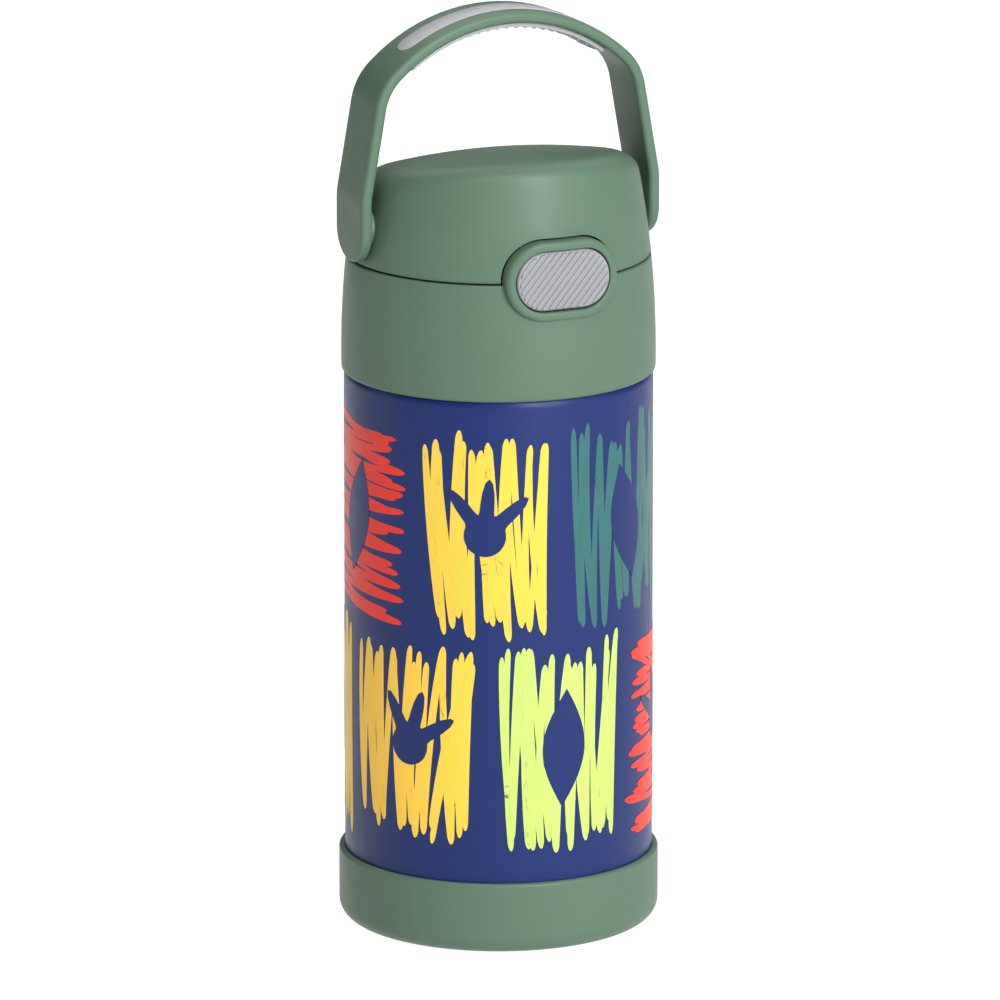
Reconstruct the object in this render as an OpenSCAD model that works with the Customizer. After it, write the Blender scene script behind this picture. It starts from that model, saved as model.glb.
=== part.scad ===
// Vacuum insulated straw bottle for children, with a flip cover and a carry loop.
// Origin: centre of the foot, +Z up. The push button faces -Y and the cover's
// hinge is at +Y. The carry loop pivots about a line along X.

/* [Flask] */
// Outside radius of the painted steel shell
shell_r = 34.4; // [28:0.1:42]
// Height of the collar's lower edge above the table
collar_z = 125.9; // [100:0.1:180]
// Thickness of each steel skin
steel_wall = 0.6; // [0.4:0.1:1]
// Vacuum gap between the two skins
vacuum_gap = 2.9; // [2:0.1:4]
// Outside radius of the neck, without its thread
neck_r = 26.5; // [21:0.1:27]
// Depth of the thread on the neck and in the lid
thread_depth = 0.8; // [0.5:0.1:1]
// Rise of one turn of the thread
thread_pitch = 3.4; // [2.8:0.1:4]
// Radius of the shell's rounded shoulder
shoulder_r = 3; // [2:0.1:4]

/* [Boot] */
// How far the boot stands out from the shell
boot_proud = 1.34; // [0.8:0.01:2.5]
// Height of the boot
boot_h = 16.3; // [10:0.1:30]
// Thickness of the boot's floor
boot_floor = 2.4; // [1.8:0.1:4]
// Radius of the boot's lower edge
boot_edge_r = 4; // [2:0.1:5]

/* [Lid] */
// How far the collar stands out from the shell
collar_proud = 0.55; // [0.3:0.01:1.5]
// Height of the collar, up to the seam under the cover
collar_h = 26.1; // [24:0.1:36]
// Radius of the bowed side of the collar and cover
side_arc_r = 220; // [150:1:600]
// Wall of the collar and cover
lid_wall = 2; // [1.6:0.1:2.4]
// Thickness of the deck inside the collar
deck_t = 1.8; // [1.4:0.1:3]
// Thickness of the gasket on the mouth's rim
gasket_t = 1; // [0.8:0.1:2]

/* [Button] */
// Width of the push button
button_w = 22.3; // [18:0.1:27]
// Height of the push button
button_h = 13.3; // [11:0.1:16]
// Travel of the push button
button_press = 2; // [1.5:0.1:2.4]
// Width of the bezel's raised ring
bezel_ring = 2; // [1.4:0.1:3]
// How far the bezel stands out from the collar
bezel_proud = 1.4; // [0.8:0.1:2.5]
// Width of the latch hook
hook_w = 8.4; // [6:0.1:10]

/* [Cover] */
// Height of the middle of the cover's top above the seam
cover_h = 22.5; // [20:0.1:30]
// Tilt of the cover's top, down towards the hinge
top_tilt = 9.4; // [0:0.1:12]
// Radius of the cover's upper edge
cover_edge_r = 7; // [4:0.1:9]
// Gap at the seam between collar and cover
seam_gap = 0.4; // [0.2:0.1:0.8]

/* [Hinge] */
// Radius of the hinge pin
pin_r = 1.5; // [1:0.1:2]
// Radius of the hinge knuckles
knuckle_r = 3; // [2.6:0.1:3.6]
// Length of the row of knuckles
hinge_w = 20; // [18:0.5:25]

/* [Spout] */
// Outside radius of the folding spout
spout_r = 4; // [3:0.1:4.8]
// Bore radius of the folding spout
spout_bore_r = 2.4; // [1.5:0.1:2.6]
// Outside radius of the lower straw
straw_r = 3.5; // [2.6:0.1:4.2]
// Distance of the spout and straw behind the bottle's axis
spout_y = 8; // [4:0.1:10]

/* [Carry loop] */
// Width of the strap
strap_w = 14.5; // [11:0.1:18]
// Thickness of the strap
strap_t = 2.6; // [2:0.1:3.4]
// Height of the top of the loop above its pivot
loop_rise = 46.9; // [38:0.1:58]
// How much larger the crown's radius is than the distance of the legs from the middle
crown_over = 5.63; // [3:0.01:15]
// Radius of the loop's upper corners
corner_r = 9; // [6:0.1:12]
// Inward lean of the legs, in degrees
leg_lean = 10; // [6:0.5:12]
// Radius of the pivot studs
stud_r = 3; // [2.4:0.1:3.6]
// Width of the inlay on the crown
inlay_w = 6; // [4:0.1:8]
// Width of the ribbed pad under the crown
pad_w = 11; // [8:0.1:11]
// Thickness of the ribbed pad
pad_t = 1.1; // [0.8:0.1:2]

/* [Clearances] */
// Radial clearance of a turning pin or stud
running_fit = 0.05; // [0.02:0.01:0.08]
// Gap between moving pieces that pass each other
pass_gap = 0.3; // [0.25:0.05:0.5]
// Gap round the push button
button_gap = 0.25; // [0.2:0.05:0.5]
// Gap between the end of the loop's leg and the side of the cover
leg_gap = 0.05; // [0.02:0.01:0.3]
// Gap between the boss and the loop's leg
boss_gap = 0.25; // [0.2:0.05:0.5]
// Gap round pieces that are welded or snapped together
seat_gap = 0.05; // [0.02:0.01:0.1]

/* [Hidden] */
$fn = 96;

green = [0.42, 0.58, 0.46];
navy = [0.14, 0.19, 0.42];
light_grey = [0.75, 0.75, 0.77];
steel = [0.72, 0.73, 0.75];
clear_white = [0.9, 0.92, 0.93];

far = 400;            // longer than anything that it cuts
overlap = 0.5;        // how deep joined features run into each other

// Collar and cover: the bowed side
collar_r = shell_r + collar_proud;
belly_z = collar_z + 4.1;
seam_z = collar_z + collar_h;
cover_z = seam_z + seam_gap;
cover_top_z = seam_z + cover_h;
tilt_shear = [[1, 0, 0, 0], [0, 1, 0, 0], [0, -tan(top_tilt), 1, 0], [0, 0, 0, 1]];
function side_r(z) = collar_r - side_arc_r + sqrt(pow(side_arc_r, 2) - pow(z - belly_z, 2));

// Button, bezel and latch, from the front inwards
button_z = seam_z + 0.7;
bezel_w = button_w + 2 * (button_gap + bezel_ring);
bezel_h = button_h + 2 * (button_gap + bezel_ring);
bezel_depth = 4.5;
bezel_face_r = 50;
button_recess = 0.7;
button_rib_h = 0.4;
button_rib_pitch = 1.4;
plate_t = 1.2;
plate_lip = 1.2;
plate_w = button_w + 2 * plate_lip;
plate_h = button_h + 2 * plate_lip - 0.4;
hook_t = 1.4;
tooth_l = 1.3;
tooth_h = 0.9;
tooth_gap = 0.2;
bar_t = 2;
tongue_t = 1.5;
rail_t = 2;
bezel_front_y = -side_r(button_z) - bezel_proud;
bezel_back_y = bezel_front_y + bezel_depth;
plate_front_y = bezel_back_y + 0.1;
plate_back_y = plate_front_y + plate_t;
hook_front_y = plate_back_y + button_press + 0.8;
hook_back_y = hook_front_y + hook_t;
tooth_end_y = hook_back_y + tooth_l;
bar_front_y = tooth_end_y + tooth_gap;
bar_back_y = bar_front_y + bar_t;
bar_w = hook_w + 2 * (pass_gap + rail_t);

// Deck and mouth, set by the button's plate
deck_z = button_z - plate_h / 2 - 0.75;
rim_z = deck_z - deck_t - gasket_t;
tooth_z = deck_z + 0.7;
tongue_z = tooth_z + tooth_h + tooth_gap;
deck_r = side_r(seam_z) - lid_wall - seat_gap;
ledge_w = 1.2;

// Button springs and their posts
spring_r = 1.9;
spring_wire = 0.5;
spring_length = 7.9;
spring_x = bar_w / 2 + pass_gap + spring_r + spring_wire / 2 + 0.1;
spring_z = button_z - 2.7;
post_t = 2;
post_w = 2 * spring_r + spring_wire;
post_front_y = plate_back_y + spring_length;

// Steel skins and neck
inner_r = shell_r - steel_wall - vacuum_gap;
shoulder_z = collar_z + 1.3;
neck_base_z = shoulder_z + 3;
mouth_r = neck_r - 2.2;
foot_corner_r = 3;
lip_w = 2;
bottom_z = boot_floor + steel_wall;
inner_bottom_z = bottom_z + steel_wall + vacuum_gap;
dimple_r = 6;
dimple_h = 1.5;
thread_z = rim_z - 2.8;
thread_turns = 2;
thread_w = 1.8;
thread_crest = 0.8;

// Threaded skirt of the lid
skirt_crest_r = neck_r + thread_depth + 0.25;
skirt_root_r = skirt_crest_r + thread_depth;
skirt_wall = 1.25;
skirt_z = neck_base_z + 1;

// Hinge
hinge_y = side_r(cover_z) - 1.7;
hinge_z = cover_z + 1.1;
knuckle_gap = 0.15;
cover_knuckle_in = 2.9;
cover_knuckle_out = hinge_w / 2 - 3.8;
hinge_pocket_w = hinge_w + 1.6;
hinge_floor_z = hinge_z - knuckle_r - 0.7;
lid_spring_r = pin_r + 0.65;
lid_spring_wire = 0.6;

// Spout
spout_z = deck_z + 6.7;
spout_ball_r = spout_r + 0.7;
spout_tip_y = bar_back_y + button_press + 2.5;
seat_r = spout_ball_r + 1.9;
seat_flange_r = seat_r + 2.2;
seat_flange_t = 1.4;
seat_foot_z = deck_z - deck_t - 2.2;
trunnion_r = 1.2;
trunnion_x = seat_r - 0.6;
seat_top_z = spout_z + trunnion_r + 1;
straw_wall = 0.8;
straw_foot_z = inner_bottom_z + 5.5;
straw_top_z = deck_z - 0.6;

// Liner of the cover
liner_r = -hook_front_y - 0.3;
liner_wall = 1.2;
liner_z = cover_z + 0.6;
liner_top_z = liner_z + 10.2;
liner_corner_r = 5;

// Carry loop
pivot_z = seam_z + strap_w / 2 + 1.25;
boss_r = stud_r + 2.1;
leg_in_x = side_r(pivot_z - strap_w / 2) + leg_gap;
boss_x = leg_in_x - boss_gap;
boss_in_x = boss_x - 4.65;
leg_x = leg_in_x + strap_t;
crown_r = leg_x + crown_over;
knee_z = pivot_z + 7.5;
crown_z = pivot_z + loop_rise - crown_r;
lean_reach = leg_x * cos(leg_lean) + (knee_z - crown_z) * sin(leg_lean) - corner_r;
corner_a = leg_lean + acos(lean_reach / (crown_r - corner_r));
crown_steps = 12;
crown_step = (90 - corner_a) / crown_steps;
grip_a = (crown_steps - 1) * crown_step;
inlay_depth = 0.8;
inlay_proud = 0.15;
pad_rib_r = 0.45;
peg_r = 1.3;
peg_a = 25;

function arc(c, r, a0, a1, n) =
    [for (i = [0:n]) let (a = a0 + (a1 - a0) * i / n) [c[0] + r * cos(a), c[1] + r * sin(a)]];

function stadium(w, h) =
    concat(arc([(w - h) / 2, 0], h / 2, -90, 90, 24), arc([(h - w) / 2, 0], h / 2, 90, 270, 24));

function side_points(z0, z1, inset, n) =
    [for (i = [0:n]) let (z = z0 + (z1 - z0) * i / n) [side_r(z) - inset, z]];

// Extrudes an outline in XZ along Y, from y0 to y1
module along_y(y0, y1) {
    translate([0, y1, 0]) rotate([90, 0, 0]) linear_extrude(y1 - y0) children();
}

// Extrudes an outline in YZ along X, from x0 to x1
module along_x(x0, x1) {
    translate([x0, 0, 0]) rotate([90, 0, 90]) linear_extrude(x1 - x0) children();
}

// Rod along X, at y and z, from x0 to x1
module rod_x(r, y, z, x0, x1) {
    translate([x0, y, z]) rotate([0, 90, 0]) cylinder(r = r, h = x1 - x0);
}

module both_sides() {
    children();
    mirror([1, 0, 0]) children();
}

// One turn of thread, standing out (+1) or in (-1) from the radius
module thread_ring(r, z, out) {
    rotate_extrude()
        polygon([[r - out * 0.1, z - thread_w / 2], [r + out * thread_depth, z - thread_crest / 2],
                 [r + out * thread_depth, z + thread_crest / 2], [r - out * 0.1, z + thread_w / 2]]);
}

// Coil of round wire along +Z, from z = 0 to the length
module coil(r, wire, length, turns) {
    seg = 16;
    sides = 8;
    n = turns * seg;
    rings = [for (i = [0:n]) for (j = [0:sides - 1])
        let (a = i * 360 / seg, b = j * 360 / sides, q = r + wire / 2 * cos(b))
            [q * cos(a), q * sin(a), wire / 2 + (length - wire) * i / n + wire / 2 * sin(b)]];
    skin = [for (i = [0:n - 1]) for (j = [0:sides - 1])
        let (k = (j + 1) % sides)
            [i * sides + j, i * sides + k, (i + 1) * sides + k, (i + 1) * sides + j]];
    start = [[for (j = [0:sides - 1]) sides - 1 - j]];
    end = [[for (j = [0:sides - 1]) n * sides + j]];
    polyhedron(rings, concat(skin, start, end), convexity = 10);
}

module outer_shell() {
    foot = boot_floor;
    low = foot + foot_corner_r;
    bend_r = shell_r - foot_corner_r;
    turn_r = shell_r - shoulder_r;
    turn_z = shoulder_z - shoulder_r;
    lip_r = bend_r - lip_w;
    color(navy) {
        rotate_extrude()
            polygon(concat(
                [[lip_r, foot]],
                arc([bend_r, low], foot_corner_r, -90, 0, 6),
                arc([turn_r, turn_z], shoulder_r, 0, 90, 8),
                [[neck_r + 1, neck_base_z - 1], [neck_r, neck_base_z], [neck_r, rim_z - steel_wall],
                 [neck_r - steel_wall, rim_z - steel_wall], [neck_r - steel_wall, neck_base_z],
                 [neck_r + 1 - steel_wall, neck_base_z - 1 - steel_wall / 2]],
                arc([turn_r, turn_z], shoulder_r - steel_wall, 90, 0, 8),
                arc([bend_r, low], foot_corner_r - steel_wall, 0, -90, 6),
                [[lip_r, bottom_z]]));
        for (i = [0:thread_turns])
            thread_ring(neck_r, thread_z - i * thread_pitch, 1);
    }
}

module inner_flask() {
    low = inner_bottom_z + 5;
    neck_out_r = mouth_r + steel_wall;
    turn_z = shoulder_z - 7;
    color(steel)
        rotate_extrude()
            polygon(concat(
                [[0, inner_bottom_z]],
                arc([inner_r - 5, low], 5, -90, 0, 8),
                arc([inner_r - 4, turn_z], 4, 0, 70, 8),
                [[neck_out_r, neck_base_z - 1], [neck_out_r, rim_z - steel_wall],
                 [neck_r, rim_z - steel_wall], [neck_r, rim_z], [mouth_r, rim_z],
                 [mouth_r, neck_base_z - 1]],
                arc([inner_r - 4, turn_z], 4 - steel_wall, 70, 0, 8),
                arc([inner_r - 5, low], 5 - steel_wall, 0, -90, 8),
                [[0, inner_bottom_z + steel_wall]]));
}

module shell_bottom() {
    r = shell_r - foot_corner_r - seat_gap;
    color(steel)
        rotate_extrude()
            polygon([[dimple_r, bottom_z], [r, bottom_z], [r, bottom_z + steel_wall],
                     [dimple_r - 0.4, bottom_z + steel_wall],
                     [dimple_r - 1.6, bottom_z + dimple_h + steel_wall],
                     [0, bottom_z + dimple_h + steel_wall], [0, bottom_z + dimple_h],
                     [dimple_r - 2, bottom_z + dimple_h]]);
}

module evacuation_seal() {
    color("dimgray")
        translate([0, 0, bottom_z + dimple_h - 0.9])
            cylinder(r1 = dimple_r - 3, r2 = dimple_r - 2.4, h = 0.9);
}

module vacuum_getter() {
    color("silver")
        translate([0, dimple_r + 9, inner_bottom_z - 1])
            cylinder(r = 5, h = 1);
}

module base_boot() {
    boot_r = shell_r + boot_proud;
    in_r = shell_r + seat_gap;
    top_r = 0.8;
    bend_r = shell_r - foot_corner_r;
    color(green)
        rotate_extrude()
            polygon(concat(
                [[0, 1], [bend_r - 7, 1], [bend_r - 6, 0]],
                arc([boot_r - boot_edge_r, boot_edge_r], boot_edge_r, -90, 0, 10),
                arc([boot_r - top_r, boot_h - top_r], top_r, 0, 90, 5),
                [[in_r, boot_h]],
                arc([bend_r, boot_floor + foot_corner_r], foot_corner_r + seat_gap, 0, -90, 6),
                [[0, boot_floor - seat_gap]]));
}

// Knuckle on the collar, with its foot down the rear wall
module collar_knuckle() {
    x0 = cover_knuckle_out + 2 * knuckle_gap;
    x1 = hinge_w / 2;
    rod_x(knuckle_r, hinge_y, hinge_z, x0, x1);
    along_x(x0, x1)
        polygon([[hinge_y - 2.6, hinge_z], [hinge_y + 1.6, hinge_z], [hinge_y + 1.6, hinge_floor_z - 0.3],
                 [hinge_y - 1, hinge_floor_z - 4.3], [hinge_y - 2.6, hinge_floor_z - 4.3]]);
}

module lid_collar() {
    wall_r = side_r(seam_z) - lid_wall;
    low_r = collar_r - lid_wall;
    ledge_z = deck_z - deck_t;
    edge_r = 0.8;
    foot_r = shell_r - 0.3;
    color(green)
        difference() {
            union() {
                rotate_extrude()
                    polygon(concat(
                        [[foot_r, collar_z]],
                        arc([side_r(collar_z + edge_r) - edge_r, collar_z + edge_r], edge_r, -60, 0, 4),
                        side_points(collar_z + 2, seam_z - 0.4, 0, 9),
                        [[side_r(seam_z) - 0.4, seam_z], [wall_r, seam_z], [wall_r, ledge_z],
                         [wall_r - ledge_w, ledge_z], [wall_r - ledge_w, ledge_z - 1.2],
                         [low_r, ledge_z - 3], [low_r, collar_z + 1.8]]));
                intersection() {
                    along_y(bezel_front_y - 1, bezel_back_y)
                        translate([0, button_z]) polygon(stadium(bezel_w, bezel_h));
                    translate([0, bezel_front_y + bezel_face_r, button_z - bezel_h])
                        cylinder(r = bezel_face_r, h = 2 * bezel_h, $fn = 180);
                }
            }
            // hole that the button travels in
            along_y(bezel_front_y - 1, hook_front_y)
                translate([0, button_z])
                    polygon(stadium(button_w + 2 * button_gap, button_h + 2 * button_gap));
            // pocket for the slider's plate
            along_y(bezel_back_y, hook_front_y)
                translate([0, button_z]) polygon(stadium(plate_w + 0.6, plate_h + 0.6));
            // pocket for the hinge
            translate([-hinge_pocket_w / 2, hinge_y - 5, hinge_floor_z])
                cube([hinge_pocket_w, 20, far]);
        }
    color(green)
        both_sides()
            difference() {
                collar_knuckle();
                rod_x(pin_r + 0.02, hinge_y, hinge_z, 0, far);
            }
}

module lid_insert() {
    skirt_r = skirt_root_r + skirt_wall;
    deck_low_z = deck_z - deck_t;
    color(light_grey)
        difference() {
            union() {
                rotate_extrude()
                    polygon([[0, deck_low_z], [skirt_root_r, deck_low_z], [skirt_root_r, skirt_z],
                             [skirt_r, skirt_z], [skirt_r, deck_low_z], [deck_r, deck_low_z],
                             [deck_r, deck_z], [0, deck_z]]);
                for (i = [0:thread_turns - 1])
                    thread_ring(skirt_root_r, thread_z - (i + 0.5) * thread_pitch, -1);
                both_sides()
                    translate([spring_x - post_w / 2, post_front_y, deck_z - overlap])
                        cube([post_w, post_t, spring_z + 3 - deck_z + overlap]);
            }
            // port for the spout's seat
            translate([0, spout_y, 0])
                cylinder(r = seat_r + seat_gap, h = far);
            // room for the back of the bezel
            along_y(-far, bezel_back_y + seat_gap)
                translate([0, button_z])
                    polygon(stadium(bezel_w + 2 * seat_gap, bezel_h + 2 * seat_gap));
        }
}

module neck_gasket() {
    color("whitesmoke")
        rotate_extrude()
            translate([mouth_r - 0.4, rim_z])
                square([neck_r - mouth_r + 0.9, gasket_t]);
}

module spout_base() {
    color(clear_white)
        difference() {
            translate([0, spout_y, 0]) {
                translate([0, 0, seat_foot_z]) cylinder(r = seat_r, h = seat_top_z - seat_foot_z);
                translate([0, 0, deck_z]) cylinder(r = seat_flange_r, h = seat_flange_t);
            }
            // socket for the folding spout and the way it swings through
            translate([0, spout_y, spout_z]) sphere(r = spout_ball_r + pass_gap);
            translate([0, spout_y, spout_z]) cylinder(r = spout_ball_r + pass_gap, h = 10);
            translate([-spout_r - pass_gap, spout_y - 20, spout_z - spout_r - pass_gap])
                cube([2 * (spout_r + pass_gap), 20, 20]);
            // bores for the spout's trunnions
            rod_x(trunnion_r + running_fit, spout_y, spout_z, -seat_r, seat_r);
            // socket for the straw, and the way through to the spout
            translate([0, spout_y, seat_foot_z - 1])
                cylinder(r = straw_r + 0.02, h = straw_top_z - seat_foot_z + 1);
            translate([0, spout_y, seat_foot_z]) cylinder(r = spout_bore_r, h = far);
        }
}

module lower_straw() {
    color(clear_white)
        translate([0, spout_y, 0])
            difference() {
                translate([0, 0, straw_foot_z])
                    cylinder(r = straw_r, h = straw_top_z - straw_foot_z);
                translate([0, 0, straw_foot_z - 1])
                    cylinder(r = straw_r - straw_wall, h = far);
                // slanted foot, so that it can't suck onto the floor
                translate([0, 0, straw_foot_z - 3.2]) rotate([0, 25, 0])
                    cube([30, 30, 6], center = true);
            }
}

module hinge_pin() {
    color(steel) rod_x(pin_r, hinge_y, hinge_z, -hinge_w / 2, hinge_w / 2);
}

module lid_spring() {
    half = cover_knuckle_in - 2 * knuckle_gap;
    leg_y = hinge_y - lid_spring_r;
    leg_x = half - lid_spring_wire / 2;
    color("silver") {
        translate([-half, hinge_y, hinge_z]) rotate([0, 90, 0]) rotate([0, 0, 90])
            coil(lid_spring_r, lid_spring_wire, 2 * half, 5.5);
        translate([-leg_x, leg_y, hinge_z - 6.5]) cylinder(r = lid_spring_wire / 2, h = 6.5, $fn = 16);
        translate([leg_x, leg_y, hinge_z]) cylinder(r = lid_spring_wire / 2, h = 7, $fn = 16);
    }
}

module button_springs() {
    color("silver")
        for (side = [-1, 1])
            translate([side * spring_x, post_front_y - seat_gap, spring_z]) rotate([90, 0, 0])
                coil(spring_r, spring_wire, spring_length - 2 * seat_gap, 6);
}

module button_cap() {
    face_y = bezel_front_y + button_recess;
    count = ceil((button_w + button_h) / button_rib_pitch / 2);
    color(light_grey) {
        along_y(face_y + button_rib_h, plate_front_y)
            translate([0, button_z]) polygon(stadium(button_w, button_h));
        intersection() {
            along_y(face_y, face_y + 2 * button_rib_h)
                translate([0, button_z]) polygon(stadium(button_w - 0.8, button_h - 0.8));
            for (i = [-count:count])
                translate([i * button_rib_pitch, face_y, button_z]) rotate([0, 45, 0])
                    cube([0.6, 4 * button_rib_h, 3 * button_h], center = true);
        }
    }
}

module button_slider() {
    color(green) {
        along_y(plate_front_y, plate_back_y)
            translate([0, button_z]) polygon(stadium(plate_w, plate_h));
        difference() {
            translate([-bar_w / 2, plate_back_y - overlap, tongue_z])
                cube([bar_w, bar_back_y - plate_back_y + overlap, tongue_t]);
            translate([-bar_w / 2 + rail_t, plate_back_y, tongue_z - 1])
                cube([bar_w - 2 * rail_t, bar_front_y - plate_back_y, tongue_t + 2]);
        }
    }
}

module spout_tip() {
    color(clear_white)
        difference() {
            union() {
                translate([0, spout_y, spout_z]) sphere(r = spout_ball_r);
                rod_x(trunnion_r, spout_y, spout_z, -trunnion_x, trunnion_x);
                translate([0, spout_y, spout_z]) rotate([90, 0, 0])
                    cylinder(r = spout_r, h = spout_y - spout_tip_y);
            }
            translate([0, spout_y, spout_z]) rotate([90, 0, 0]) cylinder(r = spout_bore_r, h = far);
            translate([0, spout_y, spout_z - 10]) cylinder(r = spout_bore_r, h = 10);
        }
}

// Outer form of the cover, or its hollow when inset by the wall
module cover_form(inset, z0) {
    rim_r = side_r(cover_z) - 2;
    core_r = rim_r - cover_edge_r;
    flare = 0.33;
    drop = 60;
    intersection() {
        rotate_extrude()
            polygon(concat([[0, z0]], side_points(z0, cover_top_z + 8, inset, 9), [[0, cover_top_z + 8]]));
        translate([0, 0, cover_top_z]) multmatrix(tilt_shear)
            rotate_extrude()
                polygon(concat(
                    [[0, -drop], [rim_r - inset + flare * (drop - cover_edge_r), -drop]],
                    arc([core_r, -cover_edge_r], cover_edge_r - inset, 0, 80, 8),
                    [[core_r / 2, -inset - 0.15], [0, -inset]]));
    }
}

module cover_shell() {
    color(green)
        difference() {
            union() {
                difference() {
                    cover_form(0, cover_z);
                    cover_form(lid_wall, cover_z - 1);
                }
                both_sides() {
                    rod_x(boss_r, 0, pivot_z, boss_in_x, boss_x);
                    rod_x(knuckle_r, hinge_y, hinge_z, cover_knuckle_in, cover_knuckle_out);
                }
            }
            // arch round the bezel and the button's plate
            along_y(bezel_front_y - 5, hook_front_y)
                translate([0, button_z])
                    polygon(stadium(bezel_w + 2 * pass_gap + 0.2, bezel_h + 2 * pass_gap + 0.2));
            // room for the collar's knuckles and the spring
            both_sides()
                rod_x(knuckle_r + pass_gap, hinge_y, hinge_z, cover_knuckle_out, hinge_pocket_w / 2);
            rod_x(knuckle_r + pass_gap, hinge_y, hinge_z, -cover_knuckle_in, cover_knuckle_in);
            rod_x(pin_r + running_fit, hinge_y, hinge_z, -hinge_w, hinge_w);
            // bores for the studs of the carry loop
            both_sides() rod_x(stud_r + running_fit, 0, pivot_z, boss_in_x - 1, boss_x + 1);
        }
}

module cover_liner() {
    flange_t = 1.2;
    flange_r = side_r(liner_z + flange_t) - lid_wall - seat_gap;
    in_r = liner_r - liner_wall;
    bend_r = liner_r - liner_corner_r;
    bend_z = liner_top_z - liner_corner_r;
    color(light_grey) {
        difference() {
            rotate_extrude()
                polygon(concat(
                    [[in_r, liner_z], [flange_r, liner_z], [flange_r, liner_z + flange_t],
                     [liner_r, liner_z + flange_t]],
                    arc([bend_r, bend_z], liner_corner_r, 0, 90, 8),
                    [[0, liner_top_z], [0, liner_top_z - liner_wall]],
                    arc([bend_r, bend_z], liner_corner_r - liner_wall, 90, 0, 8)));
            // room for the button's plate and the bezel
            translate([-bezel_w / 2 - 1, -far, liner_z - 1])
                cube([bezel_w + 2, far + hook_front_y, 10]);
            // room for the hinge
            translate([-hinge_pocket_w / 2, liner_r, liner_z - 1]) cube([hinge_pocket_w, far, 10]);
        }
        // latch hook with its tooth
        translate([-hook_w / 2, hook_front_y, tooth_z])
            cube([hook_w, hook_t, liner_z + 3 - tooth_z]);
        translate([-hook_w / 2, hook_back_y - overlap, tooth_z])
            cube([hook_w, tooth_l + overlap, tooth_h]);
    }
}

// Outline of the loop, inset from its outer face
function loop_outline(d, low_z) =
    let (c = (crown_r - corner_r) * [cos(corner_a), sin(corner_a)] + [0, crown_z],
         right = concat([[leg_x - d, low_z], [leg_x - d, knee_z - d * tan(leg_lean / 2)]],
                        arc(c, corner_r - d, leg_lean, corner_a, 6)),
         crown = arc([0, crown_z], crown_r - d, corner_a, 180 - corner_a, 2 * crown_steps),
         left = [for (i = [len(right) - 1:-1:0]) [-right[i][0], right[i][1]]])
    concat(right, crown, left);

// Band that follows the crown, between two radii
module crown_band(r0, r1, w) {
    a0 = 90 - grip_a;
    a1 = 90 + grip_a;
    n = 2 * (crown_steps - 1);
    along_y(-w / 2, w / 2)
        polygon(concat(arc([0, crown_z], r1, a0, a1, n), arc([0, crown_z], r0, a1, a0, n)));
}

module crown_pegs(r) {
    for (a = [-peg_a, 0, peg_a])
        translate([0, 0, crown_z]) rotate([0, a, 0])
            translate([0, 0, crown_r - strap_t - 0.2]) cylinder(r = r, h = strap_t - inlay_depth + 0.4, $fn = 32);
}

module inlay(r1) {
    intersection() {
        crown_band(crown_r - inlay_depth, r1, inlay_w);
        translate([0, 0, crown_z]) linear_extrude(crown_r + 5)
            polygon(stadium(2 * crown_r * sin(grip_a), inlay_w));
    }
}

module handle_frame() {
    low_z = pivot_z - strap_w;
    side = concat(arc([0, pivot_z], strap_w / 2, 180, 360, 24),
                  [[strap_w / 2, pivot_z + 2 * loop_rise], [-strap_w / 2, pivot_z + 2 * loop_rise]]);
    color(green)
        difference() {
            union() {
                intersection() {
                    along_y(-strap_w, strap_w)
                        difference() {
                            polygon(loop_outline(0, low_z));
                            polygon(loop_outline(strap_t, low_z - 1));
                        }
                    along_x(-far / 2, far / 2) polygon(side);
                }
                both_sides() rod_x(stud_r, 0, pivot_z, boss_in_x + 0.7, leg_x - strap_t + overlap);
            }
            inlay(crown_r + 1);
            crown_pegs(peg_r);
        }
}

module handle_grip() {
    pad_r = crown_r - strap_t;
    color(light_grey) {
        inlay(crown_r + inlay_proud);
        crown_pegs(peg_r);
        crown_band(pad_r - pad_t, pad_r, pad_w);
        for (i = [2 - crown_steps:crown_steps - 3])
            translate([0, 0, crown_z]) rotate([0, (i + 0.5) * crown_step, 0])
                translate([0, -pad_w / 2 + 0.5, pad_r - pad_t]) rotate([-90, 0, 0])
                    cylinder(r = pad_rib_r, h = pad_w - 1, $fn = 24);
    }
}

outer_shell();
inner_flask();
shell_bottom();
evacuation_seal();
vacuum_getter();
base_boot();
lid_collar();
lid_insert();
neck_gasket();
spout_base();
lower_straw();
hinge_pin();
lid_spring();
button_springs();
button_cap();
button_slider();
spout_tip();
cover_shell();
cover_liner();
handle_frame();
handle_grip();
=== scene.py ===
# %% [markdown]
# # A child's insulated straw bottle
# This lesson builds the looks of a steel vacuum bottle round a packed design model. The design
# model holds every size, joint and fit. Blender adds what a hand would notice: soft moulded
# edges, satin plastic, printed paint, a ribbed push button and a soft drinking spout.
# Everything is in metres. The bottle stands on the origin and its button faces -Y.

# %% Load the design model
import itertools
import math
import random

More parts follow.
